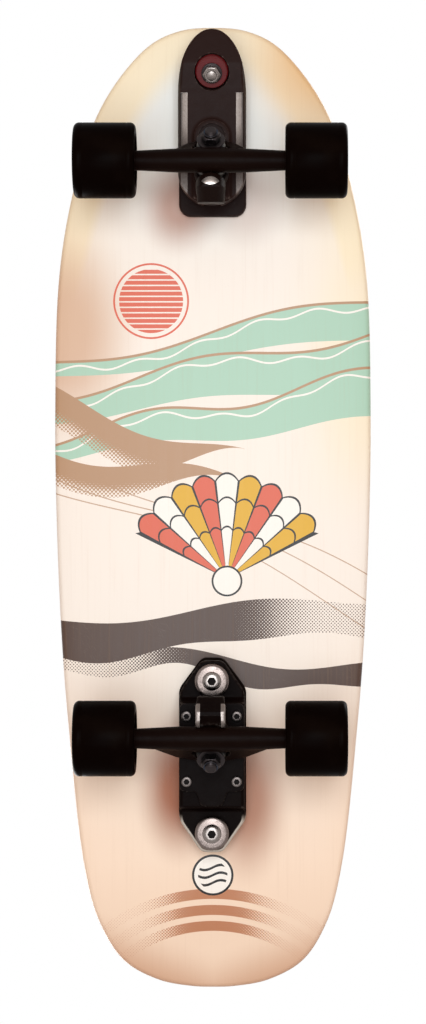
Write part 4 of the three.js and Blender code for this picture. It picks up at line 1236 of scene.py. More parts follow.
class Fitter:
    """Puts finished meshes into the scene and ties them to the frame."""

    def __init__(self) -> None:
        """Starts with no piece fitted."""
        self.count = 0

    def fit(
        self, name: str, mesh: bpy.types.Mesh, body: str, slot: str, node: str, place: Matrix | None = None
    ) -> None:
        """Adds one piece.

        Args:
            name: The piece's name.
            mesh: Its mesh, in metres.
            body: The body that it moves with.
            slot: The record's material slot; not used.
            node: The node of the frame that it replaces.
            place: Its place in millimetres, at the origin if it isn't given.
        """
        piece = new_object(name, mesh)
        if place is not None:
            piece.matrix_world = place
            piece.matrix_world.translation *= MM
        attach(piece, body)
        self._tie(piece, node)

    def fit_form(
        self,
        node: str,
        form: Draft,
        finishes: Sequence[Finish],
        body: str,
        place: Matrix,
        sharp: float = 30.0,
        kinds: tuple[str, str] = ("steel", "steel"),
    ) -> None:
        """Adds one piece that is named after its node.

        Args:
            node: The node that it replaces.
            form: Its form.
            finishes: The finishes that its faces count in.
            body: The body that it moves with.
            place: Its place in millimetres.
            sharp: The angle in degrees above which an edge stays sharp.
            kinds: The end of the piece's name, and the record's material slot, which is not used.
        """
        name = f"{node}_{kinds[0]}"
        self.fit(name, form.mesh(name, finishes, sharp), body, kinds[1], node, place)

    def stretch(
        self, node: str, profile: Sequence[Point], place: Matrix, bodies: tuple[str, str], finish: Finish
    ) -> None:
        """Adds a cushion.

        Args:
            node: The node that it replaces.
            profile: Its radius and height, from its low end.
            place: The place of its low end, its axis along Z.
            bodies: The body at its low end and the one at its high end; not used.
            finish: Its finish.
        """
        form = loft(profile, 64, closed=True).moved(place)
        piece = new_object(f"{node}_urethane", form.mesh(f"{node}_urethane", [finish], 45))
        low, high = (place @ Vector((0, 0, z)) for z in (0, max(height for _, height in profile)))
        low * MM
        high * MM
        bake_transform(piece)
        self._tie(piece, node)

    def _tie(self, piece: bpy.types.Object, node: str) -> None:
        """Hides the node that a piece replaces, counts the piece and reports it.

        Args:
            piece: The piece.
            node: The node that it replaces.
        """
        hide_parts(node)
        self.count += 1
        log.info("piece %s with %d faces", piece.name, len(piece.data.polygons))


fitter = Fitter()


def add_step(body: bpy.types.Object, operation: str, form: Draft) -> bpy.types.Object:
    """Joins a form to a body, or keeps or cuts what it covers.

    Args:
        body: The object that is worked on.
        operation: UNION, INTERSECT or DIFFERENCE.
        form: The form.

    Returns:
        The form's object, which must stay until the body is settled.
    """
    helper = new_object("form", form.mesh("form"))
    helper.data.materials.append(body.data.materials[-1])
    step = body.modifiers.new("step", "BOOLEAN")
    step.operation, step.solver, step.object = operation, "MANIFOLD", helper
    return helper


def settled(body: bpy.types.Object, helpers: Iterable[bpy.types.Object], name: str) -> bpy.types.Mesh:
    """Returns what a body's steps make of it, and removes the body with its helpers.

    Args:
        body: The object that the steps were added to.
        helpers: The forms' objects.
        name: The mesh's name.

    Returns:
        The mesh.
    """
    bpy.context.view_layer.update()
    graph = bpy.context.evaluated_depsgraph_get()
    made = bpy.data.meshes.new_from_object(body.evaluated_get(graph))
    made.name = name
    for piece in (body, *helpers):
        bpy.data.objects.remove(piece)
    return made


class Casting:
    """A cast body: solid forms joined, trimmed and softened together, then machined."""

    def __init__(self, first: Draft, voxel: float = 0.8, soften: int = 5) -> None:
        """Starts from a first form, with the softening's grain in millimetres and its repeats.

        Args:
            first: The form.
            voxel: The grain of the softening, in millimetres.
            soften: How many times the surface is smoothed.
        """
        self.first, self.voxel, self.soften = first, voxel, soften
        self.cast: list[tuple[str, Draft]] = []
        self.machined: list[tuple[str, Draft]] = []

    def join(self, *forms: Draft) -> None:
        """Adds forms to the cast body."""
        self.cast += [("UNION", form) for form in forms]

    def shape(self, *forms: Draft) -> None:
        """Keeps only what lies inside each of the forms."""
        self.cast += [("INTERSECT", form) for form in forms]

    def hollow(self, *forms: Draft) -> None:
        """Takes forms out of the cast body before it is softened."""
        self.cast += [("DIFFERENCE", form) for form in forms]

    def machine(self, *forms: Draft) -> None:
        """Cuts forms out afterwards, so that their edges stay crisp."""
        self.machined += [("DIFFERENCE", form) for form in forms]

    def fit(self, node: str, finish: Finish, body: str, place: Matrix, slot: str = "casting") -> None:
        """Makes the casting and fits it.

        Args:
            node: The node that it replaces.
            finish: Its finish.
            body: The body that it moves with.
            place: Its place in millimetres.
            slot: The record's material slot; not used.
        """
        blank = new_object("form", self.first.mesh("form", [finish]))
        helpers = [add_step(blank, *step) for step in self.cast]
        remesh = blank.modifiers.new("grain", "REMESH")
        remesh.mode, remesh.voxel_size = "VOXEL", self.voxel * MM
        smooth = blank.modifiers.new("soft", "SMOOTH")
        smooth.factor, smooth.iterations = 0.5, self.soften
        helpers += [add_step(blank, *step) for step in self.machined]
        made = settled(blank, helpers, f"{node}_casting")
        while len(made.materials) > 1:
            made.materials.pop()
        made.polygons.foreach_set("material_index", [0] * len(made.polygons))
        made.shade_smooth()
        made.set_sharp_from_angle(angle=math.radians(38))
        mark_edges(made)
        fitter.fit(f"{node}_casting", made, body, slot, node, place)


def mark_edges(mesh: bpy.types.Mesh) -> None:
    """Stores how far each point stands out from its neighbours, for wear and a painted highlight on the
    edges.

    Args:
        mesh: The mesh that takes the attribute "edge".
    """
    count = len(mesh.vertices)
    places, normals = np.empty(count * 3), np.empty(count * 3)
    mesh.vertices.foreach_get("co", places)
    mesh.vertices.foreach_get("normal", normals)
    places, normals = places.reshape(-1, 3), normals.reshape(-1, 3)
    pairs = np.empty(len(mesh.edges) * 2, dtype=np.int64)
    mesh.edges.foreach_get("vertices", pairs)
    first, second = pairs.reshape(-1, 2).T
    ends, others = np.concatenate((first, second)), np.concatenate((second, first))
    degree = np.maximum(np.bincount(ends, minlength=count), 1)

    def average(values: np.ndarray) -> np.ndarray:
        """Returns each point's mean over its neighbours."""
        return np.bincount(ends, weights=values[others], minlength=count) / degree

    spans = np.linalg.norm(places[ends] - places[others], axis=1)
    length = np.bincount(ends, weights=spans, minlength=count) / degree
    centre = np.stack([average(places[:, axis]) for axis in range(3)], axis=1)
    out = np.einsum("ij,ij->i", places - centre, normals) / np.maximum(length, 1e-6)
    for _ in range(2):
        out = (out + average(out)) / 2
    attribute = mesh.attributes.new("edge", "FLOAT", "POINT")
    attribute.data.foreach_set("value", np.clip(out * 4, 0, 1).astype(np.float32))


# Deck


@dataclass
class DeckBuilder:
    """The laminated deck with its printed underside, bare rails and grip on top."""

    length: float = 814.0
    width: float = 267.0
    thickness: float = 11.0
    underside: float = 127.5
    rail_radius: float = 4.4
    concave: float = 5.0
    flat_half: float = 36.0
    kick_length: float = 115.0
    kick_blend: float = 60.0
    kick_slope: float = 0.29
    spine: float = 0.87
    grip_gap: float = 0.3
    grip_thickness: float = 0.8
    half_points: int = 130
    rail_steps: int = 6
    shares: tuple[float, ...] = (0, 0.07, 0.14, 0.2, 0.26, 0.34, 0.43, 0.52, 0.62, 0.72, 0.82, 0.92)
    outline_shares: tuple[Point, ...] = (
        (0, 1), (0.2, 0.994), (0.39, 0.966), (0.605, 0.89), (0.765, 0.795), (0.9, 0.64),
        (0.977, 0.475), (1, 0.2), (0.99, -0.03), (0.957, -0.275), (0.915, -0.45), (0.818, -0.734),
        (0.722, -0.859), (0.57, -0.942), (0.35, -0.984), (0.14, -0.998), (0, -1),
    )  # fmt: skip

    def rise(self, x: float, y: float) -> float:
        """Returns how far the surface lies above its flat middle at a place.

        Args:
            x: The place across the deck.
            y: The place along it.

        Returns:
            The height over the middle.
        """
        share = max(0.0, abs(x) - self.flat_half) / (self.width / 2 - self.flat_half)
        run = max(0.0, self.kick_length - self.length / 2 - y)
        bent = min(run, self.kick_blend)
        kick = self.kick_slope * (bent * bent / (2 * self.kick_blend) + (run - bent))
        return self.concave * share * share + kick

    def outline(self) -> list[Vector]:
        """Returns the closed outline, from the nose down one side and back up the other."""
        right = [Vector((x * self.width / 2, y * self.length / 2, 0)) for x, y in self.outline_shares]
        corners = right + [Vector((-p.x, p.y, 0)) for p in reversed(right[1:-1])]
        half = [self._on_curve(corners, i / (2 * self.half_points)) for i in range(self.half_points + 1)]
        half[0].x = half[-1].x = 0.0
        return half + [Vector((-p.x, p.y, 0)) for p in reversed(half[1:-1])]

    def _on_curve(self, corners: Sequence[Vector], turn: float) -> Vector:
        """Returns a place on the centripetal curve through closed corners, by its turn from 0 to 1.

        Args:
            corners: The points that the curve runs through.
            turn: How far round it is, from 0 to 1.

        Returns:
            The place.
        """
        index, share = divmod(len(corners) * turn, 1.0)
        p0, p1, p2, p3 = (corners[(int(index) + k) % len(corners)] for k in (-1, 0, 1, 2))
        d0, d1, d2 = ((b - a).length ** 0.5 for a, b in ((p0, p1), (p1, p2), (p2, p3)))
        t1 = ((p1 - p0) / d0 - (p2 - p0) / (d0 + d1) + (p2 - p1) / d1) * d1
        t2 = ((p2 - p1) / d1 - (p3 - p1) / (d1 + d2) + (p3 - p2) / d2) * d1
        cubic = p1 * 2 - p2 * 2 + t1 + t2
        square = p2 * 3 - p1 * 3 - t1 * 2 - t2
        return p1 + t1 * share + square * share**2 + cubic * share**3

    def inset(self, outline: Sequence[Vector], distance: float) -> list[Vector]:
        """Returns the outline drawn in by a distance along its own normals.

        Args:
            outline: The outline.
            distance: How far it is drawn in.

        Returns:
            The smaller outline.
        """
        out = []
        for i, point in enumerate(outline):
            along = (outline[(i + 1) % len(outline)] - outline[i - 1]).normalized()
            out.append(Vector((point.x + along.y * distance, point.y - along.x * distance, 0)))
        return out

    def _lifted(self, ring: Sequence[Vector], height: float) -> list[Vector]:
        """Returns a ring at a height over the deck's own curve."""
        return [Vector((p.x, p.y, height + self.rise(p.x, p.y))) for p in ring]

    def _sheet(self, rail: Sequence[Vector], height: float, shares: Iterable[float]) -> list[list[Vector]]:
        """Returns the rings of a sheet, each at a share of the way from the centre line to the rail.

        Args:
            rail: The ring at its rim.
            height: The sheet's height at its middle.
            shares: How far from the centre line each ring lies, as shares.

        Returns:
            The rings.
        """
        rings = []
        for share in shares:
            stretch = self.spine + (1 - self.spine) * share
            rings.append(self._lifted([Vector((p.x * share, p.y * stretch, 0)) for p in rail], height))
        return rings

    def build(self) -> None:
        """Builds the deck and its grip."""
        outline, screws = self.outline(), ScrewBuilder()
        inner = self.inset(outline, self.rail_radius)
        self._deck(outline, inner, screws)
        self._grip(inner, screws)

    def _deck(self, outline: Sequence[Vector], inner: Sequence[Vector], screws: "ScrewBuilder") -> None:
        """Builds the wood: a sheet below, the rounded rail and a sheet above.

        Args:
            outline: The outline.
            inner: The outline at the inside of the rail.
            screws: What drills the holes.
        """
        top = self.underside + self.thickness
        rings = [(ring, 0.0) for ring in self._sheet(inner, self.underside, self.shares)]
        for way in (-1, 1):
            middle = self.underside + self.thickness / 2
            centre = middle + way * (self.thickness / 2 - self.rail_radius)
            edge = []
            for i in range(self.rail_steps + 1):
                turn = i / self.rail_steps * math.pi / 2
                inward = self.rail_radius * (1 - math.sin(turn))
                height = centre + way * self.rail_radius * math.cos(turn)
                level = (height - self.underside) / self.thickness
                edge.append((self._lifted(self.inset(outline, inward), height), level))
            rings += edge[::-way]
        rings += [(ring, 1.0) for ring in self._sheet(inner, top, reversed(self.shares))]
        printed = len(self.shares) + self.rail_steps
        draft = Draft()
        draft.skin([ring for ring, _ in rings], [0] * printed + [1] * (len(rings) - printed))
        mesh = draft.mesh("deck_wood", [DECK_PRINT, PLY_WOOD], 50)
        attribute = mesh.attributes.new("through", "FLOAT", "POINT")
        attribute.data.foreach_set("value", [level for ring, level in rings for _ in ring])
        fitter.fit("deck_wood", screws.drilled(mesh), "board", "maple", "deck")

    def _grip(self, inner: Sequence[Vector], screws: "ScrewBuilder") -> None:
        """Builds the grip sheet over the deck's top.

        Args:
            inner: The outline at the inside of the rail.
            screws: What drills the holes.
        """
        low = self.underside + self.thickness + self.grip_gap
        shares = (*self.shares, 1.0)
        draft = Draft()
        upper = self._sheet(inner, low + self.grip_thickness, reversed(shares))
        draft.skin(self._sheet(inner, low, shares) + upper)
        mesh = screws.drilled(draft.mesh("grip_sheet", [GRIP_BLACK], 50))
        fitter.fit("grip_sheet", mesh, "board", "grip", "grip_tape")


@dataclass
class ScrewBuilder:
    """The deck screws with their nuts, and the holes that they need."""

    shank: float = 2.4
    head: float = 4.6
    head_height: float = 2.6
    hole: float = 5.2
    slack: float = 0.4
    socket: float = 3.0
    socket_depth: float = 1.8
    nut_flats: float = 8.7
    nut_height: float = 4.0

    def nodes(self) -> list[str]:
        """Returns the screws' nodes."""
        return [f"{end.value}_deck_screw_{number}" for end in Ends for number in range(1, 5)]

    def drilled(self, mesh: bpy.types.Mesh) -> bpy.types.Mesh:
        """Returns a sheet in metres, closed along its centre line and with a hole at each screw.

        Args:
            mesh: The sheet.

        Returns:
            The sheet with its holes.
        """
        work = bmesh.new()
        work.from_mesh(mesh)
        bmesh.ops.remove_doubles(work, verts=work.verts, dist=MM / 100)
        work.to_mesh(mesh)
        work.free()
        sheet = new_object("sheet", mesh)
        drills = []
        for node in self.nodes():
            low, centre, high = node_box(node)
            seat, far, wide = high.z - self.head_height - GAP, high.z + 5 * OVERRUN, self.shank + self.slack
            profile = [(0, low.z), (wide, low.z), (wide, seat), (self.hole, seat), (self.hole, far), (0, far)]
            drill = loft(profile, 32).moved(shift(centre.x, centre.y, 0))
            drills.append(add_step(sheet, "DIFFERENCE", drill))
        made = settled(sheet, drills, f"{mesh.name}_drilled")
        made.set_sharp_from_angle(angle=math.radians(50))
        return made

    def build(self) -> None:
        """Builds the eight screws, each with its nut."""
        flats, drive = hexagonal(self.nut_flats), hexagonal(self.socket)
        inner = self.nut_flats / 2 * 0.96
        for node in self.nodes():
            bottom, centre, top = node_box(node)
            low, high = (bottom.z - top.z) / 2, (top.z - bottom.z) / 2
            rings: list[tuple[Radius, float]] = [
                (0, low), (self.shank, low), (inner, low), (flats, low + 0.5),
                (flats, low + self.nut_height - 0.5), (inner, low + self.nut_height),
                (self.shank, low + self.nut_height), (self.shank, high - self.head_height),
                (self.head - 0.15, high - self.head_height / 4), (self.head, high - 0.35),
                (self.head - 0.3, high), (drive, high), (drive, high - self.socket_depth),
                (0, high - self.socket_depth - 0.4),
            ]  # fmt: skip
            fitter.fit_form(node, loft(rings, 48), [PLATED], "board", shift(*centre), 24)


# Running gear


@dataclass
class WheelBuilder:
    """Wheels with their cores, bearings, axles and axle nuts."""

    radius: float = 30.5
    half_width: float = 25.0
    lip: float = 4.5
    dish_radius: float = 19.0
    dish_depth: float = 3.5
    mouth: float = 13.0
    seat: float = 11.3
    shelf: float = 8.2
    bearing_radius: float = 11.0
    bearing_width: float = 7.0
    bearing_apart: float = 10.0
    axle_radius: float = 3.97
    thread_length: float = 11.0
    nut_flats: float = 12.7
    nut_height: float = 7.4
    washer_radius: float = 6.2
    washer: float = 1.0

    def build(self) -> None:
        """Builds what turns on both axles."""
        wheel, bearings, nut = self._wheel(), self._bearings(), self._nut()
        for end in Ends:
            self._axle(end)
            for side in Sides:
                name = f"{end.value}_{side.name.lower()}"
                body, right = f"{name}_roller", side is Sides.RIGHT
                _, centre, _ = node_box(f"{name}_wheel")
                near, _, far = node_box(f"{name}_axle_nut")
                seat = shift(near.x if right else far.x, centre.y, centre.z)
                place = seat @ (ALONG_X if right else AGAINST_X)
                hub = shift(*centre)
                fitter.fit(f"{name}_tyre", wheel, body, "wheel_urethane", f"{name}_wheel", hub)
                fitter.fit(f"{name}_races", bearings, body, "steel", f"{name}_bearings", hub)
                fitter.fit(f"{name}_lock_nut", nut, f"{end.value}_truck", "steel", f"{name}_axle_nut", place)

    def _wheel(self) -> bpy.types.Mesh:
        """Returns the wheel about X: the core, the dished faces, the rounded lips and the tread."""
        half, dish, rim = self.half_width, self.dish_radius, self.half_width - self.lip
        floor = half - self.dish_depth
        mouth = self.bearing_apart / 2 + self.bearing_width + GAP
        shelf = self.bearing_apart / 2 - GAP
        core = [
            (self.shelf, shelf), (self.seat, shelf), (self.seat, mouth - 0.4), (self.seat + 0.4, mouth),
            (self.mouth - 0.5, mouth), (self.mouth, mouth + 0.6), (self.mouth + 0.8, mouth + 1.6),
        ]  # fmt: skip
        side = core + [
            (dish - 1.4, floor - 2.2), (dish - 1.1, floor - 1.2), (dish, floor),
            (dish + 0.9, floor + 0.9), (dish + 2.2, half - 1.0), (dish + 3.2, half - 0.3),
        ]  # fmt: skip
        side += arc((self.radius - self.lip, rim), self.lip, math.pi / 2, -math.pi / 2, 14)
        tread = ((self.radius, 2.4), (self.radius - 0.12, 2.7), (self.radius - 0.12, 3.1), (self.radius, 3.4))
        side += [(reach, rim - inward) for reach, inward in tread]
        profile = [(radius, -height) for radius, height in side] + side[::-1]
        slots = [1] * len(core) + [0] * (len(profile) - 1 - 2 * len(core)) + [1] * (len(core) + 1)
        draft = loft(profile, 96, closed=True, slots=slots).moved(ALONG_X)
        return draft.mesh("wheel", [WHEEL_BLACK, HUB_BLACK], 40)

    def _bearings(self) -> bpy.types.Mesh:
        """Returns two bearings with shields and the spacer between them, about X."""
        bore, outer, spacer = self.axle_radius + GAP, self.bearing_radius, 5.6
        inside, face = self.bearing_apart / 2, self.bearing_apart / 2 + self.bearing_width
        side = [
            (spacer, inside), (outer, inside), (outer, face - 0.3), (outer - 0.3, face),
            (outer - 1.5, face), (outer - 1.6, face - 0.45), (bore + 2.3, face - 0.45),
            (bore + 2.2, face), (bore + 0.3, face), (bore, face - 0.3),
        ]  # fmt: skip
        profile = side + [(radius, -height) for radius, height in side[::-1]]
        slots = [0] * len(profile)
        slots[5] = slots[-7] = 1
        draft = loft(profile, 64, closed=True, slots=slots).moved(ALONG_X)
        return draft.mesh("bearings", [PLATED, DARK_STEEL], 30)

    def _nut(self) -> bpy.types.Mesh:
        """Returns an axle nut with its washer about Z, the washer's face at the origin."""
        bore, radius, high = self.axle_radius + GAP, self.washer_radius, self.washer
        rings = [(bore, 0), (radius - 0.2, 0), (radius, 0.2), (radius, high - 0.2), (radius - 0.2, high)]
        washer = loft([*rings, (bore, high)], 48, closed=True)
        nut = lock_nut(self.nut_flats, bore, self.nut_height).moved(shift(0, 0, high))
        return washer.joined(nut).mesh("axle_nut", [PLATED, NYLON], 24)

    def _axle(self, end: Ends) -> None:
        """Builds one end's axle with threaded ends and its inner washers.

        Args:
            end: The end of the board.
        """
        node, radius = f"{end.value}_axle", self.axle_radius
        low, centre, high = node_box(node)
        half = (high.x - low.x) / 2
        near, _, _ = node_box(f"{end.value}_right_bearings")
        collar = near.x - GAP
        start = collar - self.washer
        right: list[Point] = [(radius, start), (self.washer_radius, start)]
        right += [(self.washer_radius, collar), (radius, collar)]
        right += thread(radius, half - self.thread_length, half - 0.6)
        right += [(radius - 0.5, half), (0, half)]
        profile = [(radius, -height) for radius, height in right[::-1]] + right
        body = f"{end.value}_truck"
        fitter.fit_form(node, loft(profile, 40).moved(ALONG_X), [PLATED], body, shift(*centre), 28)


def thread(radius: float, low: float, high: float, pitch: float = 0.8) -> list[Point]:
    """Returns the profile of a cut thread from one height to another.

    Args:
        radius: The thread's outer radius.
        low: Where it starts.
        high: Where it ends.
        pitch: The distance of its turns.

    Returns:
        The profile.
    """
    turns = max(1, round((high - low) / pitch))
    step, depth = (high - low) / turns, 0.32
    out = []
    for i in range(turns):
        start = low + i * step
        out += [(radius, start), (radius, start + step * 0.25), (radius - depth, start + step * 0.6)]
    return [*out, (radius, high)]


def lock_nut(flats: float, bore: float, height: float) -> Draft:
    """A hexagon nut with bevelled corners and a collar that grips the thread.

    Args:
        flats: Its size across flats.
        bore: The radius of its bore.
        height: Its height, the collar's end included.

    Returns:
        The nut about Z from 0 to its height, the collar in the second finish.
    """
    side, rim, body = hexagonal(flats), flats / 2 * 0.97, height * 0.74

    def bevel(angle: float) -> float:
        """Returns the outline a little way down the bevel."""
        return min(side(angle), rim + 0.6)

    rings: list[tuple[Radius, float]] = [
        (bore, 0), (rim, 0), (bevel, 0.4), (side, 0.95), (side, body - 0.95), (bevel, body - 0.4),
        (rim, body), (flats / 2 * 0.9, body + 0.1), (flats / 2 * 0.88, height - 0.7),
        (flats / 2 * 0.8, height), (bore + 1.1, height), (bore + 0.9, height - 0.6), (bore, height - 0.6),
    ]  # fmt: skip
    return loft(rings, 72, closed=True, slots=[0] * 9 + [0, 1, 1, 0])


@dataclass
class BoltHead:
    """A hexagon bolt's head: its size across flats, its height and how much its rims are drawn in."""

    flats: float
    height: float
    bevels: tuple[float, float]
    rims: tuple[float, float] = (0.96, 0.96)
    cut: float = 0.0

    def rings(self, radius: float, low: float) -> list[tuple[Radius, float]]:
        """Returns the head's rings from the shank's radius to the closed top.

        Args:
            radius: The shank's radius.
            low: The height of the head's seat.

        Returns:
            The rings.
        """
        flats, top = hexagonal(self.flats), low + self.height
        return [
            (radius, low), (self.flats / 2 * self.rims[0], low), (flats, low + self.bevels[0]),
            (flats, top - self.bevels[1]), (self.flats / 2 * self.rims[1], top - self.cut),
            (0, top - self.cut),
        ]  # fmt: skip


def cushion_profile(bore: float, radius: float, tall: float) -> list[Point]:
    """Returns the profile of a round adapter bushing that swells at its middle.

    Args:
        bore: The radius of its bore.
        radius: Its radius at the middle.
        tall: Its height.

    Returns:
        The profile.
    """
    wide = radius - 0.8
    rise = [(bore, 0), (wide - 0.8, 0), (wide, 0.9), (wide + 0.8, tall / 2)]
    return [*rise, (wide, tall - 0.9), (wide - 0.8, tall), (bore, tall)]


@dataclass
class Steering:
    """Where the kingpin, the cushions and the pivot pin of a truck lie, in the truck's frame."""

    ring_out: float = 8.0
    ring_rise: float = 26.0
    steer: float = 40.0
    ring_radius: float = 17.5
    ring_half: float = 5.0
    ring_seat: float = 2.0
    ring_bore: float = 8.2
    cushion: float = 12.2
    bulge: float = 0.8
    cone_tip: float = 10.2
    barrel_height: float = 13.6
    cone_height: float = 11.8
    washer: float = 1.6
    kingpin_radius: float = 4.75
    kingpin_flats: float = 14.3
    head_height: float = 5.4
    under_seat: float = 7.0
    nut_height: float = 8.0
    pin_radius: float = 5.9
    pin_reach: float = 35.5
    cup_wall: float = 2.2
    cup_before: float = 2.2
    cup_beyond: float = 2.6
    housing_wall: float = 3.3
    housing_back: float = 2.6

    def __post_init__(self) -> None:
        """Works out the places along the kingpin and the pivot."""
        turn = Matrix.Rotation(math.radians(self.steer), 4, "X")
        self.kingpin = shift(0, self.ring_out, self.ring_rise) @ turn
        self.pivot = self.kingpin @ ALONG_BACK
        self.seat = self.ring_half - self.ring_seat
        self.top_seat = self.seat + self.barrel_height + 2 * GAP
        self.under_head = self.top_seat + self.under_seat
        self.cone_end = self.seat + GAP + self.cone_height
        self.washer_end = self.cone_end + GAP + self.washer
        self.nut_end = self.washer_end + GAP + self.nut_height
        self.cup_radius = self.pin_radius + GAP + self.cup_wall
        self.cup_depth = self.pin_reach + self.pin_radius + GAP
        self.housing_radius = self.cup_radius + GAP + self.housing_wall
        self.housing_face = self.pin_reach - self.cup_before
        self.cup_end = self.cup_depth + self.cup_beyond + GAP
        self.housing_end = self.cup_end + self.housing_back

    def on_axes(self, along: float, up: float) -> Point:
        """Returns a point of the side view from its places along the pivot and up the kingpin."""
        point = self.kingpin @ Vector((0, along, up))
        return point.y, point.z


RIG = Steering()


@dataclass
class PivotLeg:
    """The block that holds the kingpin, with the leg and housing of the pivot cup."""

    squared: bool
    block_half: float = 11.1
    seat_radius: float = 14.2
    leg_gap: float = 11.0
    leg_top: float = 31.0
    back: float = 23.6
    root: float = 51.0
    toe: float = 11.0
    shoe_depth: float = 14.0
    shoe_end: float = 2.6
    window_half: float = 8.6
    window_wall: float = 1.5
    brow: float = 33.4
    corner: float = 7.0

    def solids(self) -> list[Draft]:
        """Returns the forms that make up the leg."""
        end, face = -RIG.housing_end, -RIG.housing_face
        places = (
            (end, RIG.housing_radius), (end, 0), (face, 0), (face, self.leg_gap),
            (-RIG.ring_radius - GAP, self.leg_gap), (-self.seat_radius, RIG.top_seat),
            (self.seat_radius, RIG.top_seat),
        )  # fmt: skip
        outline = [(-self.back, self.root), (-self.leg_top, SEAT / 2), *(RIG.on_axes(*p) for p in places)]
        outline.append((RIG.ring_out + self.seat_radius / 2, self.root))
        housing = rod(RIG.housing_radius, -end, -face, 64).moved(RIG.pivot)
        boss = rod(self.seat_radius, RIG.top_seat, RIG.under_head, 64).moved(RIG.kingpin)
        made = [side_slab(outline, self.block_half), housing, boss]
        if self.squared:
            shoe = ((end, 0), (end, -self.shoe_depth), (face, -self.shoe_depth), (face, 0))
            made.append(side_slab([RIG.on_axes(*place) for place in shoe], RIG.housing_radius))
        return made

    def trims(self) -> list[Draft]:
        """Returns what is taken off before the casting is softened: the toe, the brow, the corners."""
        reach = 60.0
        toe = prism([(-reach, -reach), (reach, -reach), (reach, reach), (-reach, reach)], -reach, -self.toe)
        outline = [(-reach, -reach), (reach, -reach), (reach, -self.brow), (-reach, -self.brow)]
        made = [toe, prism(outline, 0, SEAT - self.leg_top / 2)]
        return made if self.squared else [*made, self._corner(-1), self._corner(1)]

    def _corner(self, way: int) -> Draft:
        """Returns what rounds one corner of the housing's end, seen along the kingpin.

        Args:
            way: The side that it is on.

        Returns:
            The cutting tool.
        """
        end, wide = -RIG.housing_end, RIG.housing_radius
        centre = (wide - self.corner, end + self.corner)
        beyond, far = end - OVERRUN, wide + OVERRUN
        outline = arc(centre, self.corner, 0.0, -math.pi / 2, 12)
        outline += [(centre[0], beyond), (far, beyond), (far, centre[1])]
        corners = [(x * way, y) for x, y in outline]
        return prism(corners, -self.leg_top, self.leg_top / 2).moved(RIG.kingpin)

    def bores(self, top: float) -> list[Draft]:
        """Returns what is machined out of the leg, the pocket of the kingpin's head up to a height.

        Args:
            top: How far up the kingpin that pocket runs.

        Returns:
            The cutting tools.
        """
        pocket = RIG.kingpin_flats / math.sqrt(3) + GAP
        tools = [
            rod(RIG.kingpin_radius + GAP, 0, RIG.under_head + 1).moved(RIG.kingpin),
            rod(pocket, RIG.under_head - GAP, top).moved(RIG.kingpin),
            rod(RIG.cup_radius + GAP, RIG.housing_face - OVERRUN, RIG.cup_end, 64).moved(RIG.pivot),
        ]
        if self.squared:
            end, face = -RIG.housing_end + self.shoe_end, -RIG.housing_face + OVERRUN
            floor, deep = -RIG.cup_radius - GAP - self.window_wall, -self.shoe_depth - OVERRUN
            window = ((end, floor), (end, deep), (face, deep), (face, floor))
            tools.append(side_slab([RIG.on_axes(*place) for place in window], self.window_half))
        return tools


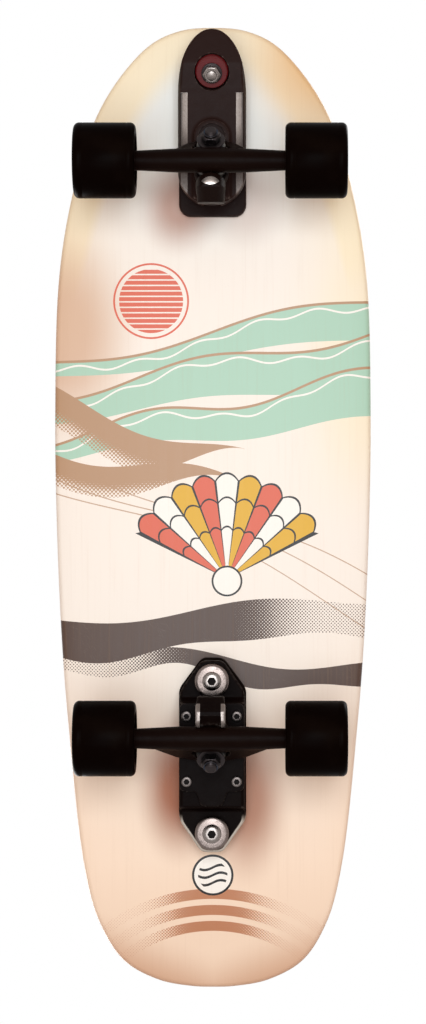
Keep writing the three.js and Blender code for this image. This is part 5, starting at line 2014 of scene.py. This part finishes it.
@dataclass
class TruckBuilder:
    """A reverse-kingpin truck: the hanger with its kingpin, cushions, washer, nut and pivot cup."""

    end: Ends
    place: Matrix
    base_body: str
    web_half: float
    web_shoulder: float
    bar_middle: float = 9.8
    bar_end: float = 8.0
    bar_collar: float = 8.7
    collar_length: float = 9.0
    hanger_half: float = 71.8
    saddle_half: float = 25.0
    axle_bore: float = 4.27
    web_out: float = 11.5
    web: float = 5.0
    lean_room: float = 9.5
    thread_beyond: float = 2.0

    def __post_init__(self) -> None:
        """Works out the frame of the kingpin and the truck's body."""
        self.kingpin_frame = self.place @ RIG.kingpin
        self.body = f"{self.end.value}_truck"
        self.bore = RIG.kingpin_radius + GAP

    def build(self) -> None:
        """Builds the truck."""
        self._hanger()
        self._kingpin()
        self._nut_and_washer()
        self._cushions()
        self._pivot_cup()

    def _on_kingpin(self, height: float) -> Matrix:
        """Returns a place along the kingpin."""
        return self.kingpin_frame @ shift(0, 0, height)

    def _bar_ring(self, radius: float, half: float) -> list[Vector]:
        """Returns points round the bar at both ends of a stretch of it.

        Args:
            radius: The ring's radius.
            half: Half of the stretch.

        Returns:
            The points.
        """
        turns = [TAU * i / 24 for i in range(24)]
        round_bar = [(radius * math.cos(turn), radius * math.sin(turn)) for turn in turns]
        return [Vector((x, y, z)) for x in (-half, half) for y, z in round_bar]

    def _hanger(self) -> None:
        """Builds the cast hanger with its bar, ring, web and pivot pin."""
        half, collar = self.hanger_half, self.hanger_half - self.collar_length
        side = [
            (self.bar_middle, self.saddle_half), (self.bar_end, collar - 1.5), (self.bar_end, collar),
            (self.bar_collar, collar + 0.5), (self.bar_collar, half - 0.8), (self.bar_collar - 0.8, half),
        ]  # fmt: skip
        profile = [(0.0, -half), *((r, -x) for r, x in side[::-1]), *side, (0.0, half)]
        casting = Casting(loft(profile, 64).moved(ALONG_X), voxel=0.8, soften=7)
        ring = rod(RIG.ring_radius, -RIG.ring_half, RIG.ring_half, 64).moved(RIG.kingpin)
        thin = rod(RIG.ring_radius, -2.4, 2.4, 48).moved(RIG.kingpin).points
        wide, low, high = self.web_shoulder, -self.web / 2, self.web / 2
        shoulders = [RIG.kingpin @ Vector((x, self.web_out, z)) for x in (-wide, wide) for z in (low, high)]
        deep = RIG.ring_radius - 6
        pin = [(0.0, deep), (RIG.pin_radius, deep)]
        pin += arc((0.0, RIG.pin_reach), RIG.pin_radius, 0.0, math.pi / 2, 8)[:-1]
        pin.append((0.0, RIG.pin_reach + RIG.pin_radius))
        root_place = RIG.kingpin @ shift(0, -RIG.pin_reach + 2 * RIG.pin_radius, 0) @ ALONG_BACK
        root = rod(RIG.pin_radius, -0.1, 0.1, 32).moved(root_place).points
        casting.join(
            ring,
            hull([*thin, *self._bar_ring(self.bar_middle - 0.3, self.saddle_half / 2)]),
            hull([*shoulders, *thin, *self._bar_ring(self.web, self.web_shoulder)]),
            hull([*shoulders, *self._bar_ring(self.web, self.web_half)]),
            hull([*root, *self._bar_ring(self.bar_end, self.bar_end)]),
            loft(pin, 48).moved(RIG.pivot),
        )
        seat = RIG.cushion + RIG.bulge + GAP
        stretch = (seat + self.lean_room) / seat
        rim = arc((0.0, 0.0), seat, 0.0, TAU, 64)[:-1]
        funnel = [
            RIG.kingpin @ Vector((x * wide, y, height))
            for height, wide in ((-RIG.seat, 1.0), (-RIG.nut_end - OVERRUN, stretch))
            for x, y in rim
        ]
        casting.machine(
            rod(RIG.ring_bore, -RIG.nut_end, RIG.top_seat, 64).moved(RIG.kingpin),
            rod(seat, RIG.seat, RIG.top_seat, 64).moved(RIG.kingpin),
            hull(funnel),
            rod(self.axle_bore, -half - OVERRUN, half + OVERRUN, 40).moved(ALONG_X),
        )
        casting.fit(f"{self.end.value}_hanger", HANGER_COAT, self.body, self.place, "hanger")

    def _kingpin(self) -> None:
        """Builds the kingpin with its hexagon head and threaded tip."""
        radius, tip = RIG.kingpin_radius, -RIG.nut_end - self.thread_beyond
        rings: list[tuple[Radius, float]] = [(0, tip), (radius - 1.0, tip), (radius - 0.4, tip + 0.5)]
        rings += thread(radius, tip + 0.6, -RIG.washer_end, 1.0)
        rings += BoltHead(RIG.kingpin_flats, RIG.head_height, (0.5, 0.8)).rings(radius, RIG.under_head)
        node = f"{self.end.value}_kingpin"
        fitter.fit_form(node, loft(rings, 48), [DARK_STEEL], self.base_body, self.kingpin_frame, 28)

    def _nut_and_washer(self) -> None:
        """Builds the kingpin's lock nut and the washer over the cone cushion."""
        node, body = f"{self.end.value}_kingpin", self.base_body
        nut = lock_nut(RIG.kingpin_flats, self.bore, RIG.nut_height)
        flip = self._on_kingpin(-RIG.nut_end + RIG.nut_height) @ UPSIDE_DOWN
        fitter.fit_form(f"{node}_nut", nut, [DARK_STEEL, NYLON], body, flip, 24)
        radius, high = RIG.cone_tip + 1.2, RIG.washer
        profile = eased([(self.bore, 0), (radius, 0), (radius, high), (self.bore, high)], 0.5)
        ring = loft(profile, 64, closed=True)
        fitter.fit_form(f"{node}_washer", ring, [DARK_STEEL], body, self._on_kingpin(-RIG.washer_end))

    def _cushions(self) -> None:
        """Builds the barrel and the cone cushion."""
        wide, tip, tall, low = RIG.cushion, RIG.cone_tip, RIG.barrel_height, RIG.cone_height
        swell = (wide + tip) / 2 + RIG.bulge
        barrel = [
            (self.bore, 0), (wide - 0.6, 0), (wide, 0.9), (wide + 0.6, tall * 0.3), (wide + 0.8, tall / 2),
            (wide + 0.6, tall * 0.7), (wide, tall - 0.9), (wide - 0.6, tall), (self.bore, tall),
        ]  # fmt: skip
        cone = [
            (self.bore, 0), (tip - 0.6, 0), (tip, 0.8), (swell, low / 2), (wide + 0.1, low - 1.0),
            (wide - 0.6, low), (self.bore, low),
        ]  # fmt: skip
        for kind, profile, start, bodies in (
            ("barrel", barrel, RIG.seat + GAP, (self.body, self.base_body)),
            ("cone", cone, -RIG.cone_end, (self.base_body, self.body)),
        ):
            node = f"{self.end.value}_{kind}_bushing"
            fitter.stretch(node, profile, self._on_kingpin(start), bodies, BUSHING_BLACK)

    def _pivot_cup(self) -> None:
        """Builds the cup round the pivot pin."""
        face, deep, outer, bore = RIG.housing_face, RIG.cup_depth, RIG.cup_radius, RIG.pin_radius + GAP
        low = deep + RIG.cup_beyond
        profile = [
            (0, low), (outer - 0.6, low), (outer, low - 0.6), (outer, face + 0.5), (outer - 0.5, face),
            (bore + 0.5, face), (bore, face + 0.5), (bore, deep - 3), (bore - 2, deep), (0, deep),
        ]  # fmt: skip
        node, place = f"{self.end.value}_pivot_cup", self.place @ RIG.pivot
        kinds = ("moulding", "cup_plastic")
        fitter.fit_form(node, loft(profile, 48), [CUP_BLACK], self.base_body, place, 30, kinds)


# Adapters


@dataclass(frozen=True)
class BoltPattern:
    """The four screws of a truck or an adapter: their spacing and the sizes of their holes."""

    across: float = 41.3
    along: float = 53.9
    hole: float = 2.8
    pocket: float = 5.6
    pocket_depth: float = 4.6

    def places(self, centre: float) -> list[Matrix]:
        """Returns the places of the four screws round a middle along Y."""
        half, reach = self.across / 2, self.along / 2
        return [shift(x, y, 0) for x in (-half, half) for y in (centre - reach, centre + reach)]

    def holes(self, centre: float, low: float, high: float) -> list[Draft]:
        """Returns the cutting tools of plain holes from one height to another."""
        return [rod(self.hole, low, high, 24).moved(place) for place in self.places(centre)]

    def pocketed(self, centre: float, low: float, high: float) -> list[Draft]:
        """The holes of a plate's four deck screws, each with the pocket of its nut from below.

        Args:
            centre: The middle of the pattern along Y.
            low: The plate's underside.
            high: The plate's top.

        Returns:
            The cutting tools.
        """
        hole = rod(self.hole, low - OVERRUN, high + OVERRUN, 32)
        pocket = rod(self.pocket, low - OVERRUN, low + self.pocket_depth, 40)
        return [form.moved(place) for place in self.places(centre) for form in (hole, pocket)]


SCREWS = BoltPattern()


@dataclass
class FrontAdapterBuilder:
    """The front adapter: the base on the deck, the arm that swings, and the bolt between them."""

    place: Matrix
    half: float = 28.2
    arm_top: float = 80.5
    shoulder: float = 64.0
    tip: float = 116.2
    chamfer: float = 5.6
    tail_taper: float = 6.0
    pad_half: float = 15.0
    pad_front: float = 41.0
    pad_back: float = 25.0
    pad_drop: float = 3.0
    pad_rim: float = 3.6
    beak_top: float = 36.0
    beak_bottom: float = 27.0
    base_tail: float = -35.6
    base_tip: float = 114.6
    base_shoulder: float = 66.0
    base_corner: float = 10.0
    base_edge: float = 1.5
    deck_seat: float = 96.7
    base_plate: float = 8.0
    swing_y: float = 86.0
    swing_z: float = 65.5
    swing_lean: float = -25.0
    bushing: float = 14.0
    arm_above: float = 9.0
    arm_below: float = 13.0
    recess_floor: float = -6.0
    upper_bushing: float = 7.6
    lower_bushing: float = 11.0
    pedestal: float = 8.0
    pedestal_radius: float = 15.5
    washer_radius: float = 8.6
    washer: float = 1.6
    nut_flats: float = 13.0
    nut_height: float = 6.5
    bolt: float = 4.0
    bolt_slack: float = 0.6
    head_height: float = 5.3
    head_pocket: float = 8.4
    screw_centre: float = 30.0
    facet_inner: float = 19.6
    facet_outer: float = 26.4
    facet_rise: float = 3.4
    facet_span: Point = (17.0, 63.0)

    def __post_init__(self) -> None:
        """Works out the frame of the swing bolt and the places along it."""
        lean = Matrix.Rotation(math.radians(self.swing_lean), 4, "X")
        self.swing = shift(0, self.swing_y, self.swing_z) @ lean
        self.pedestal_face = self.arm_above + self.upper_bushing + 2 * GAP
        self.head_low = self.pedestal_face + self.pedestal
        self.lower_end = self.recess_floor - GAP - self.lower_bushing
        self.washer_end = self.lower_end - GAP - self.washer
        self.nut_end = self.washer_end - GAP - self.nut_height

    def build(self) -> None:
        """Builds the adapter."""
        self._arm()
        self._base()
        self._bolt()

    def _by_swing(self, across: float, up: float) -> Point:
        """Returns a point of the side view from its places across and up the swing bolt."""
        point = self.swing @ Vector((0, across, up))
        return point.y, point.z

    def _arm(self) -> None:
        """Builds the swinging arm with the truck's block and leg in one casting."""
        leg, half, top, edge = PivotLeg(squared=False), self.half, self.arm_top, self.chamfer
        boss = self.bushing + GAP
        tail_centre = self.base_tail + self.tail_taper + half
        plan = arch(half, self.shoulder, self.tip, arc((0.0, tail_centre), half, math.pi, math.pi, 48))
        low, beak = top - self.beak_top, top - self.beak_bottom
        end, nose = tail_centre - half - OVERRUN, self.tip + OVERRUN
        casting = Casting(prism(plan, low, top), voxel=0.9, soften=5)
        side = [
            (end, SEAT), (self._by_swing(-boss, -self.arm_below)[0], SEAT),
            self._by_swing(boss / 2, -self.arm_below), (nose, beak), (nose, beak + edge * 2),
            self._by_swing(boss, self.arm_above), self._by_swing(-boss, self.arm_above),
            (tail_centre, top), (end, top - self.tail_taper),
        ]  # fmt: skip
        right = [(half - edge, low), (half, SEAT + edge), (half, top - edge / 2), (half - edge / 2, top)]
        casting.shape(side_slab(side, half + OVERRUN), end_slab(mirrored(right), end, nose))
        casting.join(prism(self._pad(self.pad_half), SEAT - self.pad_drop, SEAT + self.pad_drop))
        casting.join(*leg.solids())
        casting.hollow(*leg.trims())
        casting.machine(prism(self._pad(self.pad_half - self.pad_rim), SEAT - 2 * self.pad_drop, SEAT - 0.4))
        casting.machine(*leg.bores(top + OVERRUN))
        hole = rod(self.bolt + self.bolt_slack, self.recess_floor - OVERRUN, top)
        recess = rod(self.bushing + 2 * GAP, -top, self.recess_floor, 72)
        casting.machine(hole.moved(self.swing), recess.moved(self.swing))
        corners = ((self.facet_inner, -0.01), (self.facet_outer, self.facet_rise))
        corners += ((self.facet_outer, -OVERRUN), (self.facet_inner, -OVERRUN))
        for way in (-1, 1):
            casting.machine(end_slab([(way * x, SEAT + z) for x, z in corners], *self.facet_span))
        casting.fit("front_swing_arm", ARM_COAT, "front_arm", self.place)

    def _pad(self, half: float) -> list[Point]:
        """Returns the outline of the raised pad round the kingpin, which ends in a round arch."""
        centre = self.pad_front - self.pad_half
        return [*arc((0.0, centre), half, 0.0, math.pi, 32), (-half, -self.pad_back), (half, -self.pad_back)]

    def _base(self) -> None:
        """Builds the base that is screwed to the deck, with the pedestal of the swing bolt."""
        half, tail, corner = self.half, self.base_tail, self.base_corner
        edge, top = self.base_edge, self.deck_seat
        bend = arc((corner - half, corner + tail), corner, math.pi, math.pi / 2, 8)
        plan = arch(half, self.base_shoulder, self.base_tip, mirrored(bend))
        low, radius, face = top - self.base_plate, self.pedestal_radius, self.pedestal_face
        near, far = self._by_swing(-radius, face), self._by_swing(radius, face)
        floor = far[1] - OVERRUN
        tip = self.base_tip - edge
        wedge = [near, far, (tip, low), (tip, top - edge), (near[0], top - edge)]
        cross = mirrored([(half - edge, floor), (half, low + edge), (half, top)])
        casting = Casting(prism(plan, low, top), voxel=0.9, soften=3)
        casting.join(side_slab(wedge, radius))
        casting.shape(prism(plan, floor, top), end_slab(cross, tail - OVERRUN, self.base_tip + OVERRUN))
        beyond = self.head_low + top
        casting.machine(
            rod(self.bolt + GAP, 0, beyond).moved(self.swing),
            rod(self.head_pocket, self.head_low - GAP, beyond, 64).moved(self.swing),
            *SCREWS.pocketed(self.screw_centre, low, top),
        )
        casting.fit("front_base_plate", BLACK_COAT, "board", self.place)

    def _bolt(self) -> None:
        """Builds the swing bolt with its nut, its washer and its two bushings."""
        place, tip, head = self.place @ self.swing, self.nut_end - 1.2, self.head_low + GAP
        rings: list[tuple[Radius, float]] = [(0, tip - 0.4), (self.bolt - 1.2, tip - 0.3)]
        rings += thread(self.bolt, tip, self.washer_end + self.washer, 1.0)
        hexagon = BoltHead(self.nut_flats, self.head_height, (0.4, 0.7), (0.96, 0.95), GAP)
        rings += hexagon.rings(self.bolt, head)
        fitter.fit_form("front_swing_bolt", loft(rings, 48), [PLATED], "board", place, 28)
        bore = self.bolt + GAP
        nut = lock_nut(self.nut_flats, bore, self.nut_height)
        flip = place @ shift(0, 0, self.nut_end + self.nut_height) @ UPSIDE_DOWN
        fitter.fit_form("front_swing_nut", nut, [PLATED, PLATED], "board", flip, 24)
        ring = eased([(bore, 0), (self.washer_radius, 0), (self.washer_radius, self.washer)], 0.5)
        washer = loft([*ring, (bore, self.washer)], 64, closed=True)
        seat = place @ shift(0, 0, self.washer_end)
        fitter.fit_form("front_swing_washer", washer, [DARK_STEEL], "board", seat)
        for kind, start, tall in (
            ("upper", self.arm_above + GAP, self.upper_bushing),
            ("lower", self.lower_end, self.lower_bushing),
        ):
            form = loft(cushion_profile(bore, self.bushing, tall), 72, closed=True)
            seat, kinds = place @ shift(0, 0, start), ("urethane", "red_urethane")
            fitter.fit_form(f"front_swing_{kind}_bushing", form, [BUSHING_RED], "board", seat, 45, kinds)


@dataclass
class RearAdapterBuilder:
    """The rear adapter: the base on the deck, the plate that tilts under it, and the truck's base."""

    place: Matrix
    half: float = 28.2
    deck_seat: float = 96.7
    base_low: float = 86.7
    nose: float = 60.5
    tail: float = 101.5
    end_half: float = 9.0
    taper: float = 26.0
    chamfer: float = 2.2
    inset: float = 1.2
    plate_top: float = 75.1
    plate_low: float = 67.1
    hump_nose: float = 25.0
    hump_tail: float = 62.0
    hump_slope: float = 3.0
    flank_depth: float = 5.0
    flank_height: float = 9.0
    bolts: tuple[tuple[str, float], ...] = (("nose", -42.9), ("tail", 83.4))
    bolt: float = 5.0
    bolt_slack: float = 2.4
    bolt_head: float = 7.8
    head_top: float = 54.6
    head_height: float = 4.4
    socket: float = 6.0
    socket_depth: float = 3.0
    washer_low: float = 54.9
    washer_radius: float = 14.1
    washer: float = 1.6
    rim: float = 1.2
    bushing: float = 13.0
    lower_bushing: Point = (56.8, 66.8)
    upper_bushing: Point = (75.4, 86.4)
    screw_centre: float = 12.5
    screw_depth: float = 12.3
    flange: float = 6.0
    flange_half: float = 27.0
    flange_front: float = 48.0
    flange_back: float = 25.0
    flange_corner: float = 6.0
    tongue: tuple[float, float, float] = (13.0, 9.0, 12.0)

    def build(self) -> None:
        """Builds the adapter."""
        self._base()
        self._tilt_plate()
        self._truck_base()
        for end, y in self.bolts:
            self._bolt(end, self.place @ shift(0, y, 0))
        self._truck_screws()

    def _outline(self, inset: float) -> list[Point]:
        """Returns the long hexagon that both plates share, drawn in by an inset.

        Args:
            inset: How far it is drawn in.

        Returns:
            The outline.
        """
        half, nose, tail = self.half - inset, -self.nose + inset, self.tail - inset
        end, corner = self.end_half, self.end_half / 2
        places = ((end, nose), (half, nose + self.taper), (half, tail - self.taper), (end, tail))
        return rounded(mirrored([(*place, corner) for place in places]))

    def _base(self) -> None:
        """Builds the bevelled base plate."""
        low, high = self.base_low, self.deck_seat
        levels = ((0.0, high), (0.0, low + self.chamfer), (self.chamfer, low))
        body = hull(Vector((x, y, level)) for inset, level in levels for x, y in self._outline(inset))
        casting = Casting(body, voxel=1.0, soften=1)
        for _, y in self.bolts:
            casting.machine(rod(self.bolt + GAP, low - OVERRUN, high + OVERRUN).moved(shift(0, y, 0)))
        lows = [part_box(f"rear_deck_screw_{number}") for number in range(1, 5)]
        middle = sum((low.y + high.y) / 2 for low, high in lows) / 4 / MM
        casting.machine(*SCREWS.pocketed(self.place.translation.y - middle, low, high))
        casting.fit("rear_base_plate", RIM_COAT, "board", self.place)

    def _tilt_plate(self) -> None:
        """Builds the tilting plate with its hump and hollowed flanks."""
        half, edge, top, low = self.half - self.inset, self.chamfer, self.plate_top, self.plate_low
        nose, tail = -self.nose - OVERRUN, self.tail + OVERRUN
        front, back = -self.hump_nose, self.hump_tail
        side = [
            (nose, low), (front - self.hump_slope, low), (front, SEAT + GAP), (back, SEAT + GAP),
            (back + self.hump_slope, low), (tail, low), (tail, top), (nose, top),
        ]  # fmt: skip
        cross = mirrored([(half - edge, SEAT), (half, SEAT + edge), (half, top - edge), (half - edge, top)])
        casting = Casting(prism(self._outline(self.inset), SEAT, top), voxel=1.0, soften=2)
        casting.shape(side_slab(side, half + OVERRUN), end_slab(cross, nose, tail))
        flank = (SEAT + top - self.flank_height) / 2
        start, stop = front + self.flank_depth, back - self.flank_depth
        for way in (-1, 1):
            near, far = way * (half - self.flank_depth), way * (half + OVERRUN)
            corners = [(near, start), (far, start), (far, stop), (near, stop)]
            casting.hollow(prism(corners, flank, flank + self.flank_height))
        for _, y in self.bolts:
            hole = rod(self.bolt + self.bolt_slack, low - OVERRUN, top + OVERRUN)
            casting.machine(hole.moved(shift(0, y, 0)))
        casting.machine(*SCREWS.holes(self.screw_centre, SEAT - OVERRUN, SEAT + self.screw_depth))
        casting.fit("rear_tilt_plate", RIM_COAT, "rear_tilter", self.place)

    def _truck_base(self) -> None:
        """Builds the truck's base with its tongue, its block and its squared leg."""
        leg, half, front = PivotLeg(squared=True), self.flange_half, self.flange_front
        corner, (wide, tip, long) = self.flange_corner, self.tongue
        right = [(half, -self.flange_back, corner), (half, front, corner)]
        right += [(wide, front, corner / 2), (tip, front + long, corner / 2)]
        casting = Casting(prism(rounded(mirrored(right)), SEAT - self.flange, SEAT), voxel=0.8, soften=4)
        casting.join(*leg.solids())
        above = [(-100, -100), (100, -100), (100, 100), (-100, 100)]
        casting.hollow(*leg.trims(), prism(above, SEAT, SEAT + 100))
        casting.machine(*leg.bores(RIG.under_head + SEAT))
        casting.machine(*SCREWS.holes(self.screw_centre, 0, SEAT + OVERRUN))
        casting.fit("rear_truck_base", LEG_COAT, "rear_tilter", self.place)

    def _bolt(self, end: str, place: Matrix) -> None:
        """Builds one tilt bolt at its place, with its cup washer and its two bushings.

        Args:
            end: Which of the two it is.
            place: Its place.
        """
        drive, head, shank, bore = hexagonal(self.socket), self.bolt_head, self.bolt, self.bolt + GAP
        low, top, far = self.head_top - self.head_height, self.head_top, self.deck_seat - GAP
        rings: list[tuple[Radius, float]] = [
            (0, low + self.socket_depth + 0.6), (drive, low + self.socket_depth), (drive, low + 0.2),
            (lambda angle: drive(angle) + 0.3, low), (head * 0.66, low), (head * 0.86, low + 0.7),
            (head * 0.97, low + 1.7), (head, low + 2.4), (head, top - 0.3), (head - 0.3, top),
            (shank, top), (shank, far), (0, far),
        ]  # fmt: skip
        # Slot 1 paints shade into the socket and onto the side of the head.
        form = loft(rings, 72, slots=[1, 1, 0, 0, 0, 0, 1, 1])
        fitter.fit_form(f"rear_tilt_bolt_{end}", form, [PLATED, SOCKET_SHADE], "board", place, 26)
        radius, floor = self.washer_radius, self.washer
        brim = floor + self.rim
        profile = [
            (bore, 0), (radius - 2.6, 0), (radius - 1.0, 0.35), (radius - 0.25, 1.1), (radius, floor),
            (radius, brim - 0.3), (radius - 0.5, brim), (radius - 1.6, brim), (radius - 1.6, floor),
            (bore, floor),
        ]  # fmt: skip
        seat = place @ shift(0, 0, self.washer_low)
        form = loft(profile, 72, closed=True)
        fitter.fit_form(f"rear_tilt_washer_{end}", form, [CUP_STEEL], "board", seat, 35)
        for kind, (start, stop), bodies in (
            ("lower", self.lower_bushing, ("board", "rear_tilter")),
            ("upper", self.upper_bushing, ("rear_tilter", "board")),
        ):
            node, seat = f"rear_tilt_{kind}_bushing_{end}", place @ shift(0, 0, start)
            profile = cushion_profile(bore, self.bushing, stop - start)
            fitter.stretch(node, profile, seat, bodies, BUSHING_RED)

    def _truck_screws(self) -> None:
        """Builds the four cap screws that hold the truck's base to the tilting plate."""
        drive, head, shank = hexagonal(4.0), 4.3, 2.4
        for number in range(1, 5):
            node = f"rear_truck_screw_{number}"
            bottom, centre, top = node_box(node)
            low, high = (bottom.z - top.z) / 2, (top.z - bottom.z) / 2
            rings: list[tuple[Radius, float]] = [
                (0, low + 2.8), (drive, low + 2.4), (drive, low + 0.2),
                (lambda angle: drive(angle) + 0.25, low), (3.6, low), (4.1, low + 0.2), (head, low + 0.7),
                (head, low + 4.2), (shank, low + 4.2), (shank, high - 0.4), (shank - 0.4, high), (0, high),
            ]  # fmt: skip
            # Slot 1 paints shade into the socket.
            form, finishes = loft(rings, 48, slots=[1, 1]), [SCREW_STEEL, SOCKET_SHADE]
            fitter.fit_form(node, form, finishes, "rear_tilter", shift(*centre), 26)


# Scene


def main() -> None:
    """Builds the board and its stage."""
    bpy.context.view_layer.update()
    DeckBuilder().build()
    ScrewBuilder().build()
    WheelBuilder().build()
    gear()
    Stage().build()
    log.info("%d pieces", fitter.count)


def gear() -> None:
    """Builds both trucks with their adapters."""
    front, rear = (shift(*node_box(f"{end.value}_axle")[1]) for end in Ends)
    TruckBuilder(Ends.FRONT, front, "front_arm", web_half=38.0, web_shoulder=20.0).build()
    FrontAdapterBuilder(front).build()
    turned = rear @ ABOUT_FACE
    TruckBuilder(Ends.REAR, turned, "rear_tilter", web_half=56.0, web_shoulder=28.0).build()
    RearAdapterBuilder(turned).build()


@dataclass(frozen=True)
class Lamp:
    """One soft lamp: where it is, how large and how strong."""

    name: str
    place: tuple[float, float, float]
    size: float
    power: float
    colour: Colour = (1.0, 1.0, 1.0)


@dataclass
class Stage:
    """The floor, the surrounding light, the lamps and the camera."""

    camera_drop: float = 2.3
    camera_side: float = 0.042
    camera_along: float = -0.0018
    span: float = 0.8632
    underside: float = 0.1275
    pixels: tuple[int, int] = (426, 1024)
    deck_column: float = 212.75
    ambient: float = 0.42
    floor_half: float = 30.0
    lamps: tuple[Lamp, ...] = (
        Lamp("key_lamp", (-0.1, 0.38, -2.3), 0.8, 28.0, (0.84, 0.94, 1.0)),
        Lamp("fill_lamp", (0.12, -0.4, -2.3), 1.0, 18.0, (0.84, 0.94, 1.0)),
        Lamp("upper_lamp", (0.9, -0.9, 1.7), 1.0, 22.0),
        Lamp("rim_lamp", (-1.1, 0.8, 1.5), 0.8, 14.0),
    )

    def build(self) -> None:
        """Builds the stage."""
        scene = bpy.context.scene
        scene.view_settings.view_transform = "Standard"
        self._world(scene)
        self._floor()
        for lamp in self.lamps:
            self._lamp(lamp)
        self._camera(scene)

    def _finish(self, canvas: Canvas, seen: Term, hidden: Any, plain: Any, kind: str) -> None:
        """Ends a tree with one shader where a mask is low and another where it is high.

        Args:
            canvas: The tree's canvas.
            seen: The mask.
            hidden: The node of the shader where the mask is 0.
            plain: The node of the shader where it is 1.
            kind: The kind of the output node.
        """
        mix = canvas.add("MixShader", Fac=seen)
        canvas.tree.links.new(hidden.outputs[0], mix.inputs[1])
        canvas.tree.links.new(plain.outputs[0], mix.inputs[2])
        output = canvas.add(kind)
        canvas.tree.links.new(mix.outputs[0], output.inputs["Surface"])

    def _world(self, scene: bpy.types.Scene) -> None:
        """Sets a white surround for what is seen, straight or mirrored, and a dimmer light.

        Args:
            scene: The scene.
        """
        world = bpy.data.worlds.new("Surround")
        world.use_nodes = True
        scene.world = world
        canvas = Canvas(world.node_tree)
        path = canvas.add("LightPath")
        dim = canvas.add("Background", Color=(1.0, 0.7, 0.53), Strength=self.ambient)
        white = canvas.add("Background", Color=(1.0, 1.0, 1.0), Strength=1.0)
        seen = Term(canvas, path.outputs["Is Camera Ray"])
        seen = seen.most(Term(canvas, path.outputs["Is Glossy Ray"]))
        seen = seen.most(Term(canvas, path.outputs["Is Transmission Ray"]))
        self._finish(canvas, seen, dim, white, "OutputWorld")

    def _floor(self) -> None:
        """Builds a floor that only shows to the camera from above and takes the board's shadow."""
        half = self.floor_half
        mesh = bpy.data.meshes.new("floor")
        corners = [(-half, -half, 0), (half, -half, 0), (half, half, 0), (-half, half, 0)]
        mesh.from_pydata(corners, [], [(0, 1, 2, 3)])
        made = bpy.data.materials.new("White floor")
        made.use_nodes = True
        canvas = Canvas(made.node_tree)
        path = canvas.add("LightPath")
        back = Term(canvas, canvas.add("NewGeometry").outputs["Backfacing"])
        seen = Term(canvas, path.outputs["Is Camera Ray"]) * (back * -1.0 + 1.0)
        place = canvas.position()
        x, y, _ = canvas.axes(place)
        # Painted light: the floor's glow has a strength of 0.52 within 0.9 m of the middle, rising to 0.8
        # from 2.4 m on.
        away = x.reach(y).ramp(900, 2400, 0.52, 0.8)
        tint = canvas.paint((0.86, 0.86, 0.86), (0.8, 0.8, 0.8), canvas.noise(place, 6.0, 3.0) * 0.1)
        matte = canvas.add("BsdfDiffuse", Color=tint)
        glow = canvas.add("Emission", Color=(0.8, 0.94, 1.0), Strength=away)
        both = canvas.add("AddShader")
        canvas.tree.links.new(matte.outputs[0], both.inputs[0])
        canvas.tree.links.new(glow.outputs[0], both.inputs[1])
        self._finish(canvas, seen, canvas.add("BsdfTransparent"), both, "OutputMaterial")
        mesh.materials.append(made)
        new_object("floor", mesh)

    def _lamp(self, lamp: Lamp) -> None:
        """Adds one soft lamp that points at the board.

        Args:
            lamp: The lamp.
        """
        light = bpy.data.lights.new(lamp.name, "AREA")
        light.shape, light.size, light.energy, light.color = "SQUARE", lamp.size, lamp.power, lamp.colour
        holder = new_object(lamp.name, light)
        holder.location = lamp.place
        aim = Vector((0, 0, 0.1)) - Vector(lamp.place)
        holder.rotation_euler = aim.to_track_quat("-Z", "Y").to_euler()

    def _camera(self, scene: bpy.types.Scene) -> None:
        """Sets the camera under the board, looking straight up, with the nose at the top.

        Args:
            scene: The scene.
        """
        data = bpy.data.cameras.new("camera")
        camera = new_object("camera", data)
        height = self.underside - self.camera_drop
        rows = ((-1, 0, 0, -self.camera_side), (0, 1, 0, self.camera_along), (0, 0, -1, height), (0, 0, 0, 1))
        camera.matrix_world = Matrix(rows)
        data.sensor_width = 36.0
        data.lens = data.sensor_width * self.camera_drop / self.span
        columns, lines = self.pixels
        pixel = self.span / lines
        data.shift_x = -(self.deck_column - columns / 2 + self.camera_side / pixel) / lines
        data.clip_start, data.clip_end = 0.05, 100.0
        scene.camera = camera


if __name__ == "__main__":
    main()
